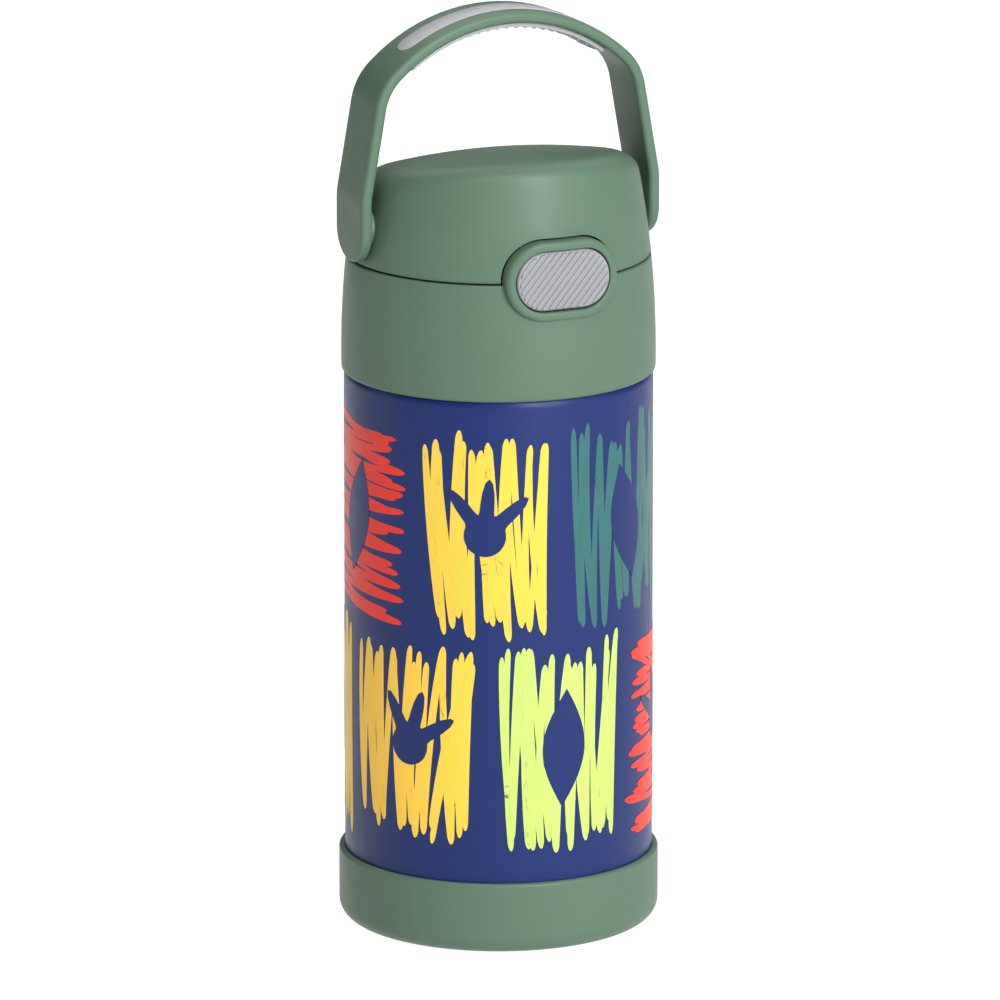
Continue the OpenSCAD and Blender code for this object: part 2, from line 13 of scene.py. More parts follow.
import bpy
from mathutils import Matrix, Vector


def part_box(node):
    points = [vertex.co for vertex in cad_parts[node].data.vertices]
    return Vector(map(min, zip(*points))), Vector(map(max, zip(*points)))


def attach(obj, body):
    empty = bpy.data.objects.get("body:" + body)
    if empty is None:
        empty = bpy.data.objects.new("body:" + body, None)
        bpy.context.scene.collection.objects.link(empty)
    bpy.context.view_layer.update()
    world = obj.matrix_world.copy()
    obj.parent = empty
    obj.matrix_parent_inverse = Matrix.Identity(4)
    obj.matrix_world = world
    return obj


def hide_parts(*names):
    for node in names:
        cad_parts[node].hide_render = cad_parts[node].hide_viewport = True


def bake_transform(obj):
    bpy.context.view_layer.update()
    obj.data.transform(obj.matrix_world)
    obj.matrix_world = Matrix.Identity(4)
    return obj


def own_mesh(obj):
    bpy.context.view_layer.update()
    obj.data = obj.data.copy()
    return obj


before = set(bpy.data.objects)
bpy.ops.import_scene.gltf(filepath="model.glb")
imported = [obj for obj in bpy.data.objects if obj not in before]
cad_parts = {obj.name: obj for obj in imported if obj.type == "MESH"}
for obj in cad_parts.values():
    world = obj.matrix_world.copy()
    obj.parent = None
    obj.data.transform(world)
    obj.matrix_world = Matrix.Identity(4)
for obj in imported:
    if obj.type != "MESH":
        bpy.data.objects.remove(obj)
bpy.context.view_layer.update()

MM = 0.001

# %% [markdown]
# ## The camera
# A long lens from two and a half metres away keeps the sides of the bottle nearly parallel, as
# in a catalogue picture. The camera stands a little to one side, so that the button shows off
# centre, and looks down by about fourteen degrees.

# %% Camera
AIM_Z = 95.26 * MM
CAMERA_AZIMUTH = math.radians(-25)
CAMERA_PITCH = math.radians(14.151)
CAMERA_DISTANCE = 2.6008
CAMERA_LENS = 420.26
CAMERA_SIDESTEP = 0.335 * MM


def towards_camera(azimuth, pitch):
    flat = math.cos(pitch)
    return Vector((math.sin(azimuth) * flat, -math.cos(azimuth) * flat, math.sin(pitch)))


def place_camera():
    back = towards_camera(CAMERA_AZIMUTH, CAMERA_PITCH)
    side = Vector((math.cos(CAMERA_AZIMUTH), math.sin(CAMERA_AZIMUTH), 0))
    spot = Vector((0, 0, AIM_Z)) + back * CAMERA_DISTANCE + side * CAMERA_SIDESTEP
    bpy.ops.object.camera_add(location=spot, rotation=back.to_track_quat("Z", "Y").to_euler())
    made = bpy.context.object
    made.name = "camera"
    made.data.sensor_width = 36
    made.data.lens = CAMERA_LENS
    made.data.clip_end = 20
    bpy.context.scene.camera = made
    return made


camera = place_camera()
print("camera at", [round(v, 3) for v in camera.location])

# %% [markdown]
# ## Small helpers
# Operators work on whatever is selected, so each helper clears the selection first. `trace`
# draws an outline by extruding one vertex from point to point, as by hand. `lathe` spins such an
# outline round the bottle's axis, and `prism` fills it and extrudes it straight. `skin` lays a
# grid over a stack of rings, which suits swept and softly changing shapes.

# %% Helpers: selection and modifiers
def pick(obj):
    if bpy.context.object and bpy.context.object.mode != "OBJECT":
        bpy.ops.object.mode_set(mode="OBJECT")
    bpy.ops.object.select_all(action="DESELECT")
    obj.select_set(True)
    bpy.context.view_layer.objects.active = obj
    return obj


def apply_modifier(obj, kind, **settings):
    pick(obj)
    bpy.ops.object.modifier_add(type=kind)
    modifier = obj.modifiers[-1]
    for key, value in settings.items():
        setattr(modifier, key, value)
    bpy.ops.object.modifier_apply(modifier=modifier.name)
    return obj


def tidy_mesh(obj, merge=1e-6):
    pick(obj)
    bpy.ops.object.mode_set(mode="EDIT")
    bpy.ops.mesh.select_all(action="SELECT")
    bpy.ops.mesh.remove_doubles(threshold=merge)
    bpy.ops.mesh.normals_make_consistent(inside=False)
    bpy.ops.object.mode_set(mode="OBJECT")
    return obj


def smooth(obj, angle=35):
    pick(obj)
    bpy.ops.object.shade_smooth_by_angle(angle=math.radians(angle))
    return obj


def soften(obj, width, segments=3, angle=35):
    return apply_modifier(obj, "BEVEL", width=width, segments=segments, limit_method="ANGLE",
                          angle_limit=math.radians(angle), miter_outer="MITER_ARC")


def carve(obj, cutter, operation="DIFFERENCE"):
    apply_modifier(obj, "BOOLEAN", operation=operation, object=cutter, solver="EXACT")
    bpy.data.objects.remove(cutter)
    return obj


def join(name, objs):
    pick(objs[0])
    for o in objs:
        o.select_set(True)
    bpy.ops.object.join()
    objs[0].name = name
    return objs[0]


# %% Helpers: outlines
def arc(centre, radius, a0, a1, steps):
    angles = [math.radians(a0 + (a1 - a0) * i / steps) for i in range(steps + 1)]
    return [(centre[0] + radius * math.cos(a), centre[1] + radius * math.sin(a)) for a in angles]


def rounded(corners, steps=6):
    """Corners are (a, b) or (a, b, radius); the ones with a radius become arcs."""
    points = []
    for i, corner in enumerate(corners):
        if len(corner) == 2:
            points.append(corner)
            continue
        here = Vector(corner[:2])
        to_last = (Vector(corners[i - 1][:2]) - here).normalized()
        to_next = (Vector(corners[(i + 1) % len(corners)][:2]) - here).normalized()
        half = to_last.angle(to_next) / 2
        middle = here + (to_last + to_next).normalized() * (corner[2] / math.sin(half))
        start = here + to_last * (corner[2] / math.tan(half)) - middle
        end = here + to_next * (corner[2] / math.tan(half)) - middle
        turn = start.angle_signed(end)
        for k in range(steps + 1):
            a = -turn * k / steps
            points.append((middle.x + start.x * math.cos(a) - start.y * math.sin(a),
                           middle.y + start.x * math.sin(a) + start.y * math.cos(a)))
    return points


def stadium(width, height, steps=18):
    half = (width - height) / 2
    return arc((half, 0), height / 2, -90, 90, steps) + arc((-half, 0), height / 2, 90, 270, steps)


# %% Helpers: from outline to solid
def trace(name, points, place, closed=True):
    """Draws the outline in space; place turns an outline point into a point in space."""
    bpy.ops.object.select_all(action="DESELECT")
    bpy.ops.mesh.primitive_plane_add(size=MM)
    obj = bpy.context.object
    obj.name = name
    bpy.ops.object.mode_set(mode="EDIT")
    bpy.ops.mesh.select_all(action="SELECT")
    bpy.ops.mesh.merge(type="CENTER")
    last = Vector(place(points[0]))
    bpy.ops.transform.translate(value=last)
    for point in points[1:]:
        here = Vector(place(point))
        bpy.ops.mesh.extrude_region_move(TRANSFORM_OT_translate={"value": here - last})
        last = here
    bpy.ops.mesh.select_all(action="SELECT")
    if closed:
        bpy.ops.mesh.edge_face_add()
    bpy.ops.object.mode_set(mode="OBJECT")
    return obj


def lathe(name, points, closed=True, steps=192):
    obj = trace(name, points, lambda p: (p[0], 0, p[1]), closed)
    pick(obj)
    bpy.ops.object.mode_set(mode="EDIT")
    if closed:
        bpy.ops.mesh.select_all(action="SELECT")
        bpy.ops.mesh.delete(type="ONLY_FACE")
    bpy.ops.mesh.select_all(action="SELECT")
    bpy.ops.mesh.spin(steps=steps, angle=math.tau, center=(0, 0, 0), axis=(0, 0, 1))
    bpy.ops.object.mode_set(mode="OBJECT")
    return tidy_mesh(obj)


def prism(name, points, place, depth):
    """A solid: the outline filled, then extruded by the vector depth."""
    obj = trace(name, points, place)
    pick(obj)
    bpy.ops.object.mode_set(mode="EDIT")
    bpy.ops.mesh.select_all(action="SELECT")
    bpy.ops.mesh.extrude_region_move(TRANSFORM_OT_translate={"value": Vector(depth)})
    bpy.ops.object.mode_set(mode="OBJECT")
    return tidy_mesh(obj)


def rod(name, radius, start, end, sides=64):
    start, end = Vector(start), Vector(end)
    turn = (end - start).to_track_quat("Z", "Y").to_euler()
    bpy.ops.object.select_all(action="DESELECT")
    bpy.ops.mesh.primitive_cylinder_add(vertices=sides, radius=radius, depth=(end - start).length,
                                        location=(start + end) / 2, rotation=turn)
    obj = bpy.context.object
    obj.name = name
    bpy.ops.object.transform_apply(location=True, rotation=True, scale=True)
    return obj


def block(name, low_corner, high_corner):
    a, b = Vector(low_corner), Vector(high_corner)
    bpy.ops.object.select_all(action="DESELECT")
    bpy.ops.mesh.primitive_cube_add(size=1, location=(a + b) / 2, scale=b - a)
    obj = bpy.context.object
    obj.name = name
    bpy.ops.object.transform_apply(location=True, rotation=True, scale=True)
    return obj


def skin(name, rings, tidy=True):
    """Lays a grid over rings of points; rings and ends that meet are merged."""
    rows, columns = len(rings) - 1, len(rings[0]) - 1
    bpy.ops.object.select_all(action="DESELECT")
    bpy.ops.mesh.primitive_grid_add(x_subdivisions=columns, y_subdivisions=rows, size=1)
    obj = bpy.context.object
    obj.name = name
    for vertex, point in zip(obj.data.vertices, itertools.chain(*rings)):
        vertex.co = point
    return tidy_mesh(obj) if tidy else obj


def front_prism(name, points, centre_z, y0, y1):
    return prism(name, points, lambda p: (p[0], y0, centre_z + p[1]), (0, y1 - y0, 0))


def fit_out(obj, body, material, nodes=(), angle=35):
    """Gives a piece its shading, material and body, and hides the design nodes it stands for."""
    smooth(obj, angle)
    obj.data.materials.clear()
    obj.data.materials.append(material)
    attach(obj, body)
    if nodes:
        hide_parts(*nodes)
    print(obj.name, len(obj.data.polygons), "faces")
    return obj


# %% [markdown]
# ## Sizes from the design model
# Nothing here is measured by eye. The boxes of the design nodes give the radii and heights that
# the visible pieces have to match, and the few sizes that a box can't give are named.

# %% Sizes
def low(node):
    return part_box(node)[0]


def high(node):
    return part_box(node)[1]


SHELL_R = high("outer_shell").x
SHELL_FOOT_Z = low("outer_shell").z
STEEL = 0.6 * MM
BOOT_R = high("base_boot").x
BOOT_TOP = high("base_boot").z
COLLAR_Z = low("lid_collar").z
COLLAR_R = high("lid_collar").x
BELLY_Z = COLLAR_Z + 4.1 * MM
SIDE_ARC_R = 220 * MM
SEAM_Z = COLLAR_Z + 26.1 * MM
COVER_Z = SEAM_Z + 0.4 * MM
LID_WALL = 2 * MM
RIM_Z = high("inner_flask").z
NECK_R = 26.5 * MM
MOUTH_R = 24.3 * MM
DECK_Z = RIM_Z + 2.8 * MM
SHOULDER_Z = COLLAR_Z + 1.3 * MM
SHOULDER_R = 3 * MM


def side_r(z):
    """Radius of the softly bowed side that the collar and the cover share."""
    return COLLAR_R - SIDE_ARC_R + math.sqrt(SIDE_ARC_R ** 2 - (z - BELLY_Z) ** 2)


print("shell, boot and collar radius in mm: %.2f %.2f %.2f"
      % (SHELL_R / MM, BOOT_R / MM, COLLAR_R / MM))

# %% [markdown]
# ## Finishes
# Moulded plastic is never one flat colour: it has a fine spark-eroded grain, and its gloss and
# colour drift a little over a hand's width. Each finish starts from the shader's own numbers,
# and noise on object coordinates adds drift and grain.

# %% Helpers: finishes
def finish(name, colour, roughness, **sockets):
    material = bpy.data.materials.new(name)
    material.use_nodes = True
    shader = material.node_tree.nodes["Principled BSDF"]
    shader.inputs["Base Color"].default_value = (*colour, 1)
    shader.inputs["Roughness"].default_value = roughness
    for socket, value in sockets.items():
        shader.inputs[socket.replace("_", " ")].default_value = value
    material.diffuse_color = (*colour, 1)
    return material


def noise(material, scale, detail=2.0, stretch=(1, 1, 1)):
    nodes, links = material.node_tree.nodes, material.node_tree.links
    place = nodes.new("ShaderNodeTexCoord")
    mapping = nodes.new("ShaderNodeMapping")
    mapping.inputs["Scale"].default_value = stretch
    texture = nodes.new("ShaderNodeTexNoise")
    texture.inputs["Scale"].default_value = scale
    texture.inputs["Detail"].default_value = detail
    links.new(place.outputs["Object"], mapping.inputs["Vector"])
    links.new(mapping.outputs["Vector"], texture.inputs["Vector"])
    return texture.outputs["Fac"]


def drift_colour(material, scale, light, dark):
    """Lets the base colour wander between two close colours."""
    nodes, links = material.node_tree.nodes, material.node_tree.links
    ramp = nodes.new("ShaderNodeValToRGB")
    ramp.color_ramp.elements[0].position = 0.3
    ramp.color_ramp.elements[1].position = 0.7
    ramp.color_ramp.elements[0].color = (*dark, 1)
    ramp.color_ramp.elements[1].color = (*light, 1)
    links.new(noise(material, scale), ramp.inputs["Fac"])
    links.new(ramp.outputs["Color"], nodes["Principled BSDF"].inputs["Base Color"])


def drift_gloss(material, scale, low_value, high_value, stretch=(1, 1, 1)):
    nodes, links = material.node_tree.nodes, material.node_tree.links
    spread = nodes.new("ShaderNodeMapRange")
    spread.inputs["From Min"].default_value = 0.3
    spread.inputs["From Max"].default_value = 0.7
    spread.inputs["To Min"].default_value = low_value
    spread.inputs["To Max"].default_value = high_value
    links.new(noise(material, scale, 3, stretch), spread.inputs["Value"])
    links.new(spread.outputs["Result"], nodes["Principled BSDF"].inputs["Roughness"])


def grain(material, scale, depth, stretch=(1, 1, 1)):
    nodes, links = material.node_tree.nodes, material.node_tree.links
    bump = nodes.new("ShaderNodeBump")
    bump.inputs["Strength"].default_value = 1
    bump.inputs["Distance"].default_value = depth
    links.new(noise(material, scale, 2, stretch), bump.inputs["Height"])
    links.new(bump.outputs["Normal"], nodes["Principled BSDF"].inputs["Normal"])


def shade(colour, factor):
    return tuple(c * factor for c in colour)


def moulded(name, colour, roughness, depth=0.012 * MM):
    material = finish(name, colour, roughness, Specular_IOR_Level=0.28)
    drift_colour(material, 22, shade(colour, 1.03), shade(colour, 0.97))
    drift_gloss(material, 160, roughness - 0.03, roughness + 0.04)
    grain(material, 2600, depth)
    return material


# %% Finishes of this bottle
GREEN = (0.076, 0.135, 0.091)
GREY = (0.245, 0.25, 0.265)
GRIP_GREY = (0.34, 0.345, 0.36)
NAVY = (0.0075, 0.020, 0.105)

green_plastic = moulded("green plastic", GREEN, 0.46)
grey_plastic = moulded("grey plastic", GREY, 0.42)
grey_grip = moulded("grey grip", GRIP_GREY, 0.55, depth=0.02 * MM)
white_plastic = moulded("white straw plastic", (0.55, 0.56, 0.56), 0.35)


def painted(name, colour):
    material = finish(name, colour, 0.38, Specular_IOR_Level=0.22)
    drift_gloss(material, 300, 0.35, 0.42)
    grain(material, 900, 0.006 * MM)
    return material


navy_paint = painted("navy paint", NAVY)
yellow_ink = painted("yellow ink", (0.72, 0.48, 0.055))
amber_ink = painted("amber ink", (0.82, 0.51, 0.055))
red_ink = painted("red ink", (0.68, 0.030, 0.014))
teal_ink = painted("teal ink", (0.032, 0.118, 0.118))
lime_ink = painted("lime ink", (0.44, 0.56, 0.13))

silicone = finish("clear silicone", (0.58, 0.61, 0.62), 0.38, Subsurface_Weight=0.4,
                  Subsurface_Scale=0.003, IOR=1.41)
grain(silicone, 1800, 0.008 * MM)
gasket_silicone = finish("gasket silicone", (0.5, 0.52, 0.52), 0.45, Subsurface_Weight=0.3,
                         Subsurface_Scale=0.002, IOR=1.41)
grain(gasket_silicone, 1800, 0.008 * MM)

flask_steel = finish("brushed flask steel", (0.60, 0.59, 0.57), 0.3, Metallic=1)
drift_gloss(flask_steel, 40, 0.24, 0.36, stretch=(1, 1, 60))
grain(flask_steel, 60, 0.004 * MM, stretch=(1, 1, 60))
spring_steel = finish("drawn spring steel", (0.50, 0.49, 0.47), 0.28, Metallic=1)
drift_gloss(spring_steel, 900, 0.22, 0.34)
seal_resin = moulded("dark sealing resin", (0.09, 0.09, 0.095), 0.5)
print(len(bpy.data.materials), "materials")

# %% [markdown]
# ## The painted wall
# On the real bottle this is a tube of thin steel with a rolled shoulder and foot, powder coated
# in navy. A spun outline gives it in one go. The neck above the shoulder stays bare, brushed
# steel with the thread rolled into it, so it is a piece of its own.

# %% Painted wall
FOOT_R = 3 * MM


def wall_r(z):
    """Outside radius of the painted wall at a height, round the shoulder too."""
    over = max(0, z - (SHOULDER_Z - SHOULDER_R))
    return SHELL_R - SHOULDER_R + math.sqrt(max(0, SHOULDER_R ** 2 - over ** 2))


def painted_wall():
    neck_low = SHOULDER_Z + 0.2 * MM
    inside = SHELL_R - STEEL
    profile = rounded([
        (SHELL_R - 5 * MM, SHELL_FOOT_Z), (SHELL_R, SHELL_FOOT_Z, FOOT_R),
        (SHELL_R, SHOULDER_Z, SHOULDER_R), (NECK_R + 1.5 * MM, SHOULDER_Z),
        (NECK_R + 1.2 * MM, neck_low), (NECK_R + 1.0 * MM, neck_low - STEEL),
        (inside, SHOULDER_Z - STEEL, SHOULDER_R - STEEL),
        (inside, SHELL_FOOT_Z + STEEL, FOOT_R - STEEL), (SHELL_R - 5 * MM, SHELL_FOOT_Z + STEEL)],
        steps=10)
    return lathe("painted_wall", profile)


wall = fit_out(painted_wall(), "flask", navy_paint, ["outer_shell"])

# %% [markdown]
# ## The printed wall
# The print is a plain repeat of this lesson's own: two staggered rows of marker patches in bright
# inks, each with a navy footprint or a leaf left in the middle. Each marker stroke is a
# thin ribbon of ink with rounded ends. A patch is drawn the way a hand does it, to and fro between
# two rough edges. A fixed seed makes the hand repeat itself exactly. Everything is drawn flat, s
# along the wall from the front and z up, and then wrapped. Each layer of ink lies a few hundredths
# of a millimetre above the last one, and each stroke a little above its neighbour.

# %% Helpers: drawing on the wall
PRINT_LOW, PRINT_HIGH = BOOT_TOP + 0.6 * MM, COLLAR_Z - 0.5 * MM
INK_SUNK = -0.01 * MM


def on_wall(s, z, lift):
    z = min(max(z, PRINT_LOW), PRINT_HIGH)
    r = wall_r(z) + lift
    return (r * math.sin(s / SHELL_R), -r * math.cos(s / SHELL_R), z)


def along(edge, share):
    """The point at a share of the way along a rough edge of (s, z) points, in mm."""
    spans = [math.dist(p, q) for p, q in zip(edge, edge[1:])]
    left = share * sum(spans)
    for p, q, span in zip(edge, edge[1:], spans):
        if left <= span:
            break
        left -= span
    t = min(1, left / span)
    return Vector((p[0] + (q[0] - p[0]) * t, p[1] + (q[1] - p[1]) * t))


TAPER = 2.6


def ink_stroke(start, end, width, bow, lift):
    """One marker stroke in mm: a ribbon with round ends that bows to one side."""
    run = end - start
    across = Vector((-run.y, run.x)).normalized()
    count = 6 + int(abs(run.x) / 1.5)
    stations = [0, 0.005, 0.02, 0.04] + [i / count for i in range(1, count)]
    stations += [0.96, 0.98, 0.995, 1]
    rings = []
    for t in sorted(stations):
        middle = start + run * t + across * bow * 4 * t * (1 - t)
        tip = min(t, 1 - t) * run.length / TAPER
        half = width / 2 * math.sqrt(max(0, 1 - (1 - min(1, tip)) ** 2))
        left, right = middle + across * half, middle - across * half
        rings.append([on_wall(p.x * MM, p.y * MM, up) for p, up in (
            (left, INK_SUNK), (left, lift), (right, lift), (right, INK_SUNK), (left, INK_SUNK))])
    return skin("ink_stroke", rings, tidy=False)


def scribble(hand, first, second, pitch, width, bow, lift, ragged):
    """Strokes to and fro between two rough edges, all sizes in mm."""
    length = sum(math.dist(p, q) for p, q in zip(first, first[1:]))
    count = max(2, int(length / pitch))
    turns = []
    for i in range(count + 1):
        for edge, step in ((first, 0), (second, 0.5)):
            share = min(1, max(0, (i + step + hand.uniform(-0.42, 0.42)) / count))
            spot = along(edge, share)
            away = along(second if edge is first else first, share) - spot
            turns.append(spot + away.normalized() * hand.uniform(-ragged, ragged))
    strokes = []
    for i, (p, q) in enumerate(zip(turns, turns[1:])):
        apart = Vector((0.013 * (i % 5 + 1), 0))
        strokes.append(ink_stroke(p + apart, q, width * hand.uniform(0.82, 1.12),
                                  bow * (1 if i % 2 else -1) + hand.uniform(-0.5, 0.5),
                                  lift + i % 7 * 0.002 * MM))
    return strokes


INK_SLICE = 1.5


def ink_shape(points, lift):
    """A filled shape in mm, sliced upright every INK_SLICE and wrapped on the wall."""
    shape = prism("ink_shape", [(s * MM, z * MM) for s, z in points],
                  lambda p: (p[0], INK_SUNK, p[1]), (0, lift - INK_SUNK, 0))
    pick(shape)
    bpy.ops.object.mode_set(mode="EDIT")
    bpy.ops.mesh.select_all(action="SELECT")
    bpy.ops.mesh.quads_convert_to_tris()
    first, last = min(p[0] for p in points), max(p[0] for p in points)
    for k in range(math.ceil(first / INK_SLICE), math.ceil(last / INK_SLICE)):
        bpy.ops.mesh.select_all(action="SELECT")
        bpy.ops.mesh.bisect(plane_co=(k * INK_SLICE * MM, 0, 0), plane_no=(1, 0, 0))
    bpy.ops.object.mode_set(mode="OBJECT")
    for vertex in shape.data.vertices:
        vertex.co = on_wall(vertex.co.x, vertex.co.z, vertex.co.y)
    return shape


def ink(name, parts, material):
    return fit_out(tidy_mesh(join(name, parts)), "flask", material)


# %% Scribbled patches
LOWER, MIDDLE, UPPER = 0.03 * MM, 0.075 * MM, 0.12 * MM
PATCHES_ROUND = 6
PATCH_PITCH = math.tau * SHELL_R / MM / PATCHES_ROUND
PATCH_W, PATCH_H = 0.8 * PATCH_PITCH, 42
PRINT_MIDDLE = (PRINT_LOW + PRINT_HIGH) / 2 / MM
ROW_GAP = 7
STROKE_PITCH, STROKE_W, STROKE_BOW, STROKE_RAGGED = 3.6, 1.4, 0.6, 3
hand = random.Random(12)
inks = {"red": red_ink, "amber": amber_ink, "yellow": yellow_ink, "teal": teal_ink,
        "lime": lime_ink}
drawn = {colour: [] for colour in inks}


def patch(colour, middle, sideways, lift):
    """Two rough edges round a middle, in mm, and strokes to and fro between them."""
    def rough(x, z):
        return (middle[0] + x + hand.uniform(-2, 2), middle[1] + z + hand.uniform(-3, 3))

    wide, tall = PATCH_W / 2, PATCH_H / 2
    shares = (-1, -0.33, 0.33, 1)
    if sideways:
        edges = [[rough(side * wide, tall * k) for k in shares] for side in (-1, 1)]
    else:
        edges = [[rough(wide * k, side * tall) for k in shares] for side in (1, -1)]
    for _ in range(2):
        drawn[colour] += scribble(hand, *edges, STROKE_PITCH, STROKE_W, STROKE_BOW, lift,
                                  STROKE_RAGGED)


# %% [markdown]
# The motifs come from short formulas, so they can be made larger, slimmer or turned by changing
# one number. The footprint is a round heel whose radius swells into three toes, and a leaf is a
# pointed oval.

# %% Motifs in navy
HEEL = 0.36
TOE_SLIM = 0.2
TOE_LEANS = (-0.75, 0, 0.75)
FOOTPRINT_R = 13
LEAF_LENGTH = 27
LEAF_SLIM = 0.19


def footprint(steps=90):
    points = []
    for i in range(steps):
        a = math.tau * i / steps
        toe = max(math.exp(-(math.remainder(a - lean, math.tau) / TOE_SLIM) ** 2)
                  for lean in TOE_LEANS)
        r = FOOTPRINT_R * (HEEL + (1 - HEEL) * toe)
        points.append((r * math.sin(a), r * math.cos(a)))
    return points


def leaf(steps=20):
    half = [(LEAF_SLIM * LEAF_LENGTH * math.sin(math.pi * i / steps),
             LEAF_LENGTH * (i / steps - 0.5)) for i in range(steps + 1)]
    return half + [(-x, z) for x, z in half[-2:0:-1]]


def turned(points, angle, middle):
    c, n = math.cos(angle), math.sin(angle)
    return [(middle[0] + x * c + z * n, middle[1] - x * n + z * c) for x, z in points]


shadows = []
ROW_COLOURS = (("teal", "red", "yellow", "teal", "amber", "lime"),
               ("yellow", "amber", "lime", "red", "yellow", "teal"))
for row, colours in enumerate(ROW_COLOURS):
    z = PRINT_MIDDLE + (0.5 - row) * (PATCH_H + ROW_GAP)
    for i, colour in enumerate(colours):
        middle = ((i - 2.5 + 0.5 * row) * PATCH_PITCH, z)
        patch(colour, middle, colour == "red", MIDDLE if row else LOWER)
        turn = hand.uniform(-0.4, 0.4)
        motif = leaf() if (i + row) % 2 else footprint()
        shadows.append(ink_shape(turned(motif, turn, middle), UPPER))
for colour, strokes in drawn.items():
    ink("print_" + colour, strokes, inks[colour])
ink("print_shadows", shadows, navy_paint)

# %% [markdown]
# ## The threaded neck and the inner flask
# The thread is rolled from the same sheet, so its ridges are soft. The inner flask is drawn from
# one disc and welded to the neck at the mouth's rim, where the drinker sees a thick rolled lip.

# %% Neck and inner flask
THREAD_PITCH = 3.4 * MM
THREAD_DEPTH = 0.8 * MM
THREAD_TOP_Z = RIM_Z - 2.8 * MM


def threaded_neck():
    base = SHOULDER_Z + 0.2 * MM
    outer = [(NECK_R + 1.2 * MM, base), (NECK_R, base + 2.6 * MM, 0.8 * MM)]
    for turn in (2, 1, 0):
        z = THREAD_TOP_Z - turn * THREAD_PITCH
        outer += [(NECK_R, z - 0.9 * MM, 0.25 * MM),
                  (NECK_R + THREAD_DEPTH, z - 0.35 * MM, 0.3 * MM),
                  (NECK_R + THREAD_DEPTH, z + 0.35 * MM, 0.3 * MM),
                  (NECK_R, z + 0.9 * MM, 0.25 * MM)]
    inner = [(NECK_R, RIM_Z - STEEL), (NECK_R - STEEL, RIM_Z - STEEL),
             (NECK_R - STEEL, base + 2.8 * MM), (NECK_R + 1.0 * MM - STEEL, base)]
    return lathe("threaded_neck", rounded(outer + inner, steps=3))


def drinking_flask():
    r = high("inner_flask").x
    base = low("inner_flask").z
    turn_z = SHOULDER_Z - 5 * MM
    neck = MOUTH_R + STEEL
    profile = rounded([
        (0, base), (r, base, 5 * MM), (r, turn_z, 4 * MM), (neck, turn_z + 5.4 * MM, 2 * MM),
        (neck, RIM_Z - 2 * STEEL, 0.2 * MM), (NECK_R, RIM_Z - STEEL), (NECK_R, RIM_Z, 0.28 * MM),
        (MOUTH_R, RIM_Z, 0.28 * MM), (MOUTH_R, turn_z + 5.2 * MM, 2 * MM),
        (r - STEEL, turn_z - STEEL, 3.4 * MM), (r - STEEL, base + STEEL, 4.4 * MM),
        (0, base + STEEL)])
    return lathe("drinking_flask", profile)


fit_out(threaded_neck(), "flask", flask_steel, ["outer_shell"])
fit_out(drinking_flask(), "flask", flask_steel, ["inner_flask"])

# %% [markdown]
# ## The boot
# The boot is a separate moulding pushed on from below. It is a spun cup with a soft top lip, a
# large lower edge and a shallow recess underneath, so that it stands on a ring.

# %% Boot
def boot():
    bore = SHELL_R + 0.05 * MM
    ring_in = SHELL_R - 9 * MM
    profile = rounded([
        (0, 1 * MM), (ring_in - 1 * MM, 1 * MM, 0.4 * MM), (ring_in, 0, 0.4 * MM),
        (BOOT_R, 0, 4 * MM), (BOOT_R, BOOT_TOP, 0.75 * MM), (bore, BOOT_TOP, 0.15 * MM),
        (bore, SHELL_FOOT_Z - 0.05 * MM, FOOT_R), (0, SHELL_FOOT_Z - 0.05 * MM)], steps=12)
    return lathe("foot_boot", profile)


fit_out(boot(), "flask", green_plastic, ["base_boot"])

# %% [markdown]
# ## The collar
# The collar is the fixed part of the lid. Its side bows very slightly, and carries on into the
# cover above a thin seam. The spun ring gets the hole for the button and the notch for the
# hinge, and then two knuckles that hold the hinge pin.

# %% Sizes of the button and the hinge
BUTTON_Z = SEAM_Z + 0.7 * MM
BUTTON_W, BUTTON_H = 22.3 * MM, 13.3 * MM
BUTTON_GAP = 0.25 * MM
BEZEL_RING = 2 * MM
BEZEL_W = BUTTON_W + 2 * (BUTTON_GAP + BEZEL_RING)
BEZEL_H = BUTTON_H + 2 * (BUTTON_GAP + BEZEL_RING)
BEZEL_Y = low("lid_collar").y
BEZEL_FACE_R = 50 * MM
PLATE_W, PLATE_H = BUTTON_W + 2.4 * MM, BUTTON_H + 2.0 * MM
HINGE_Y = (low("hinge_pin").y + high("hinge_pin").y) / 2
HINGE_Z = (low("hinge_pin").z + high("hinge_pin").z) / 2
KNUCKLE_R = 3 * MM
NOTCH_HALF = 10.8 * MM
NOTCH_FLOOR_Z = HINGE_Z - KNUCKLE_R - 0.7 * MM
HOOK_Y = low("cover_liner").y + 1.5 * MM


# %% Collar
def side_points(z0, z1, steps):
    return [(side_r(z0 + (z1 - z0) * i / steps), z0 + (z1 - z0) * i / steps)
            for i in range(steps + 1)]


def collar_knuckle(side):
    x0, x1 = 6.5 * MM * side, 10 * MM * side
    knuckle = rod("knuckle", KNUCKLE_R, (x0, HINGE_Y, HINGE_Z), (x1, HINGE_Y, HINGE_Z))
    foot = prism("knuckle_foot", [(-2.6 * MM, 0), (1.6 * MM, 0), (1.6 * MM, -4 * MM),
                                  (-1 * MM, -8 * MM), (-2.6 * MM, -8 * MM)],
                 lambda p: (x0, HINGE_Y + p[0], HINGE_Z + p[1]), (x1 - x0, 0, 0))
    carve(knuckle, foot, "UNION")
    return soften(knuckle, 0.3 * MM, 2)


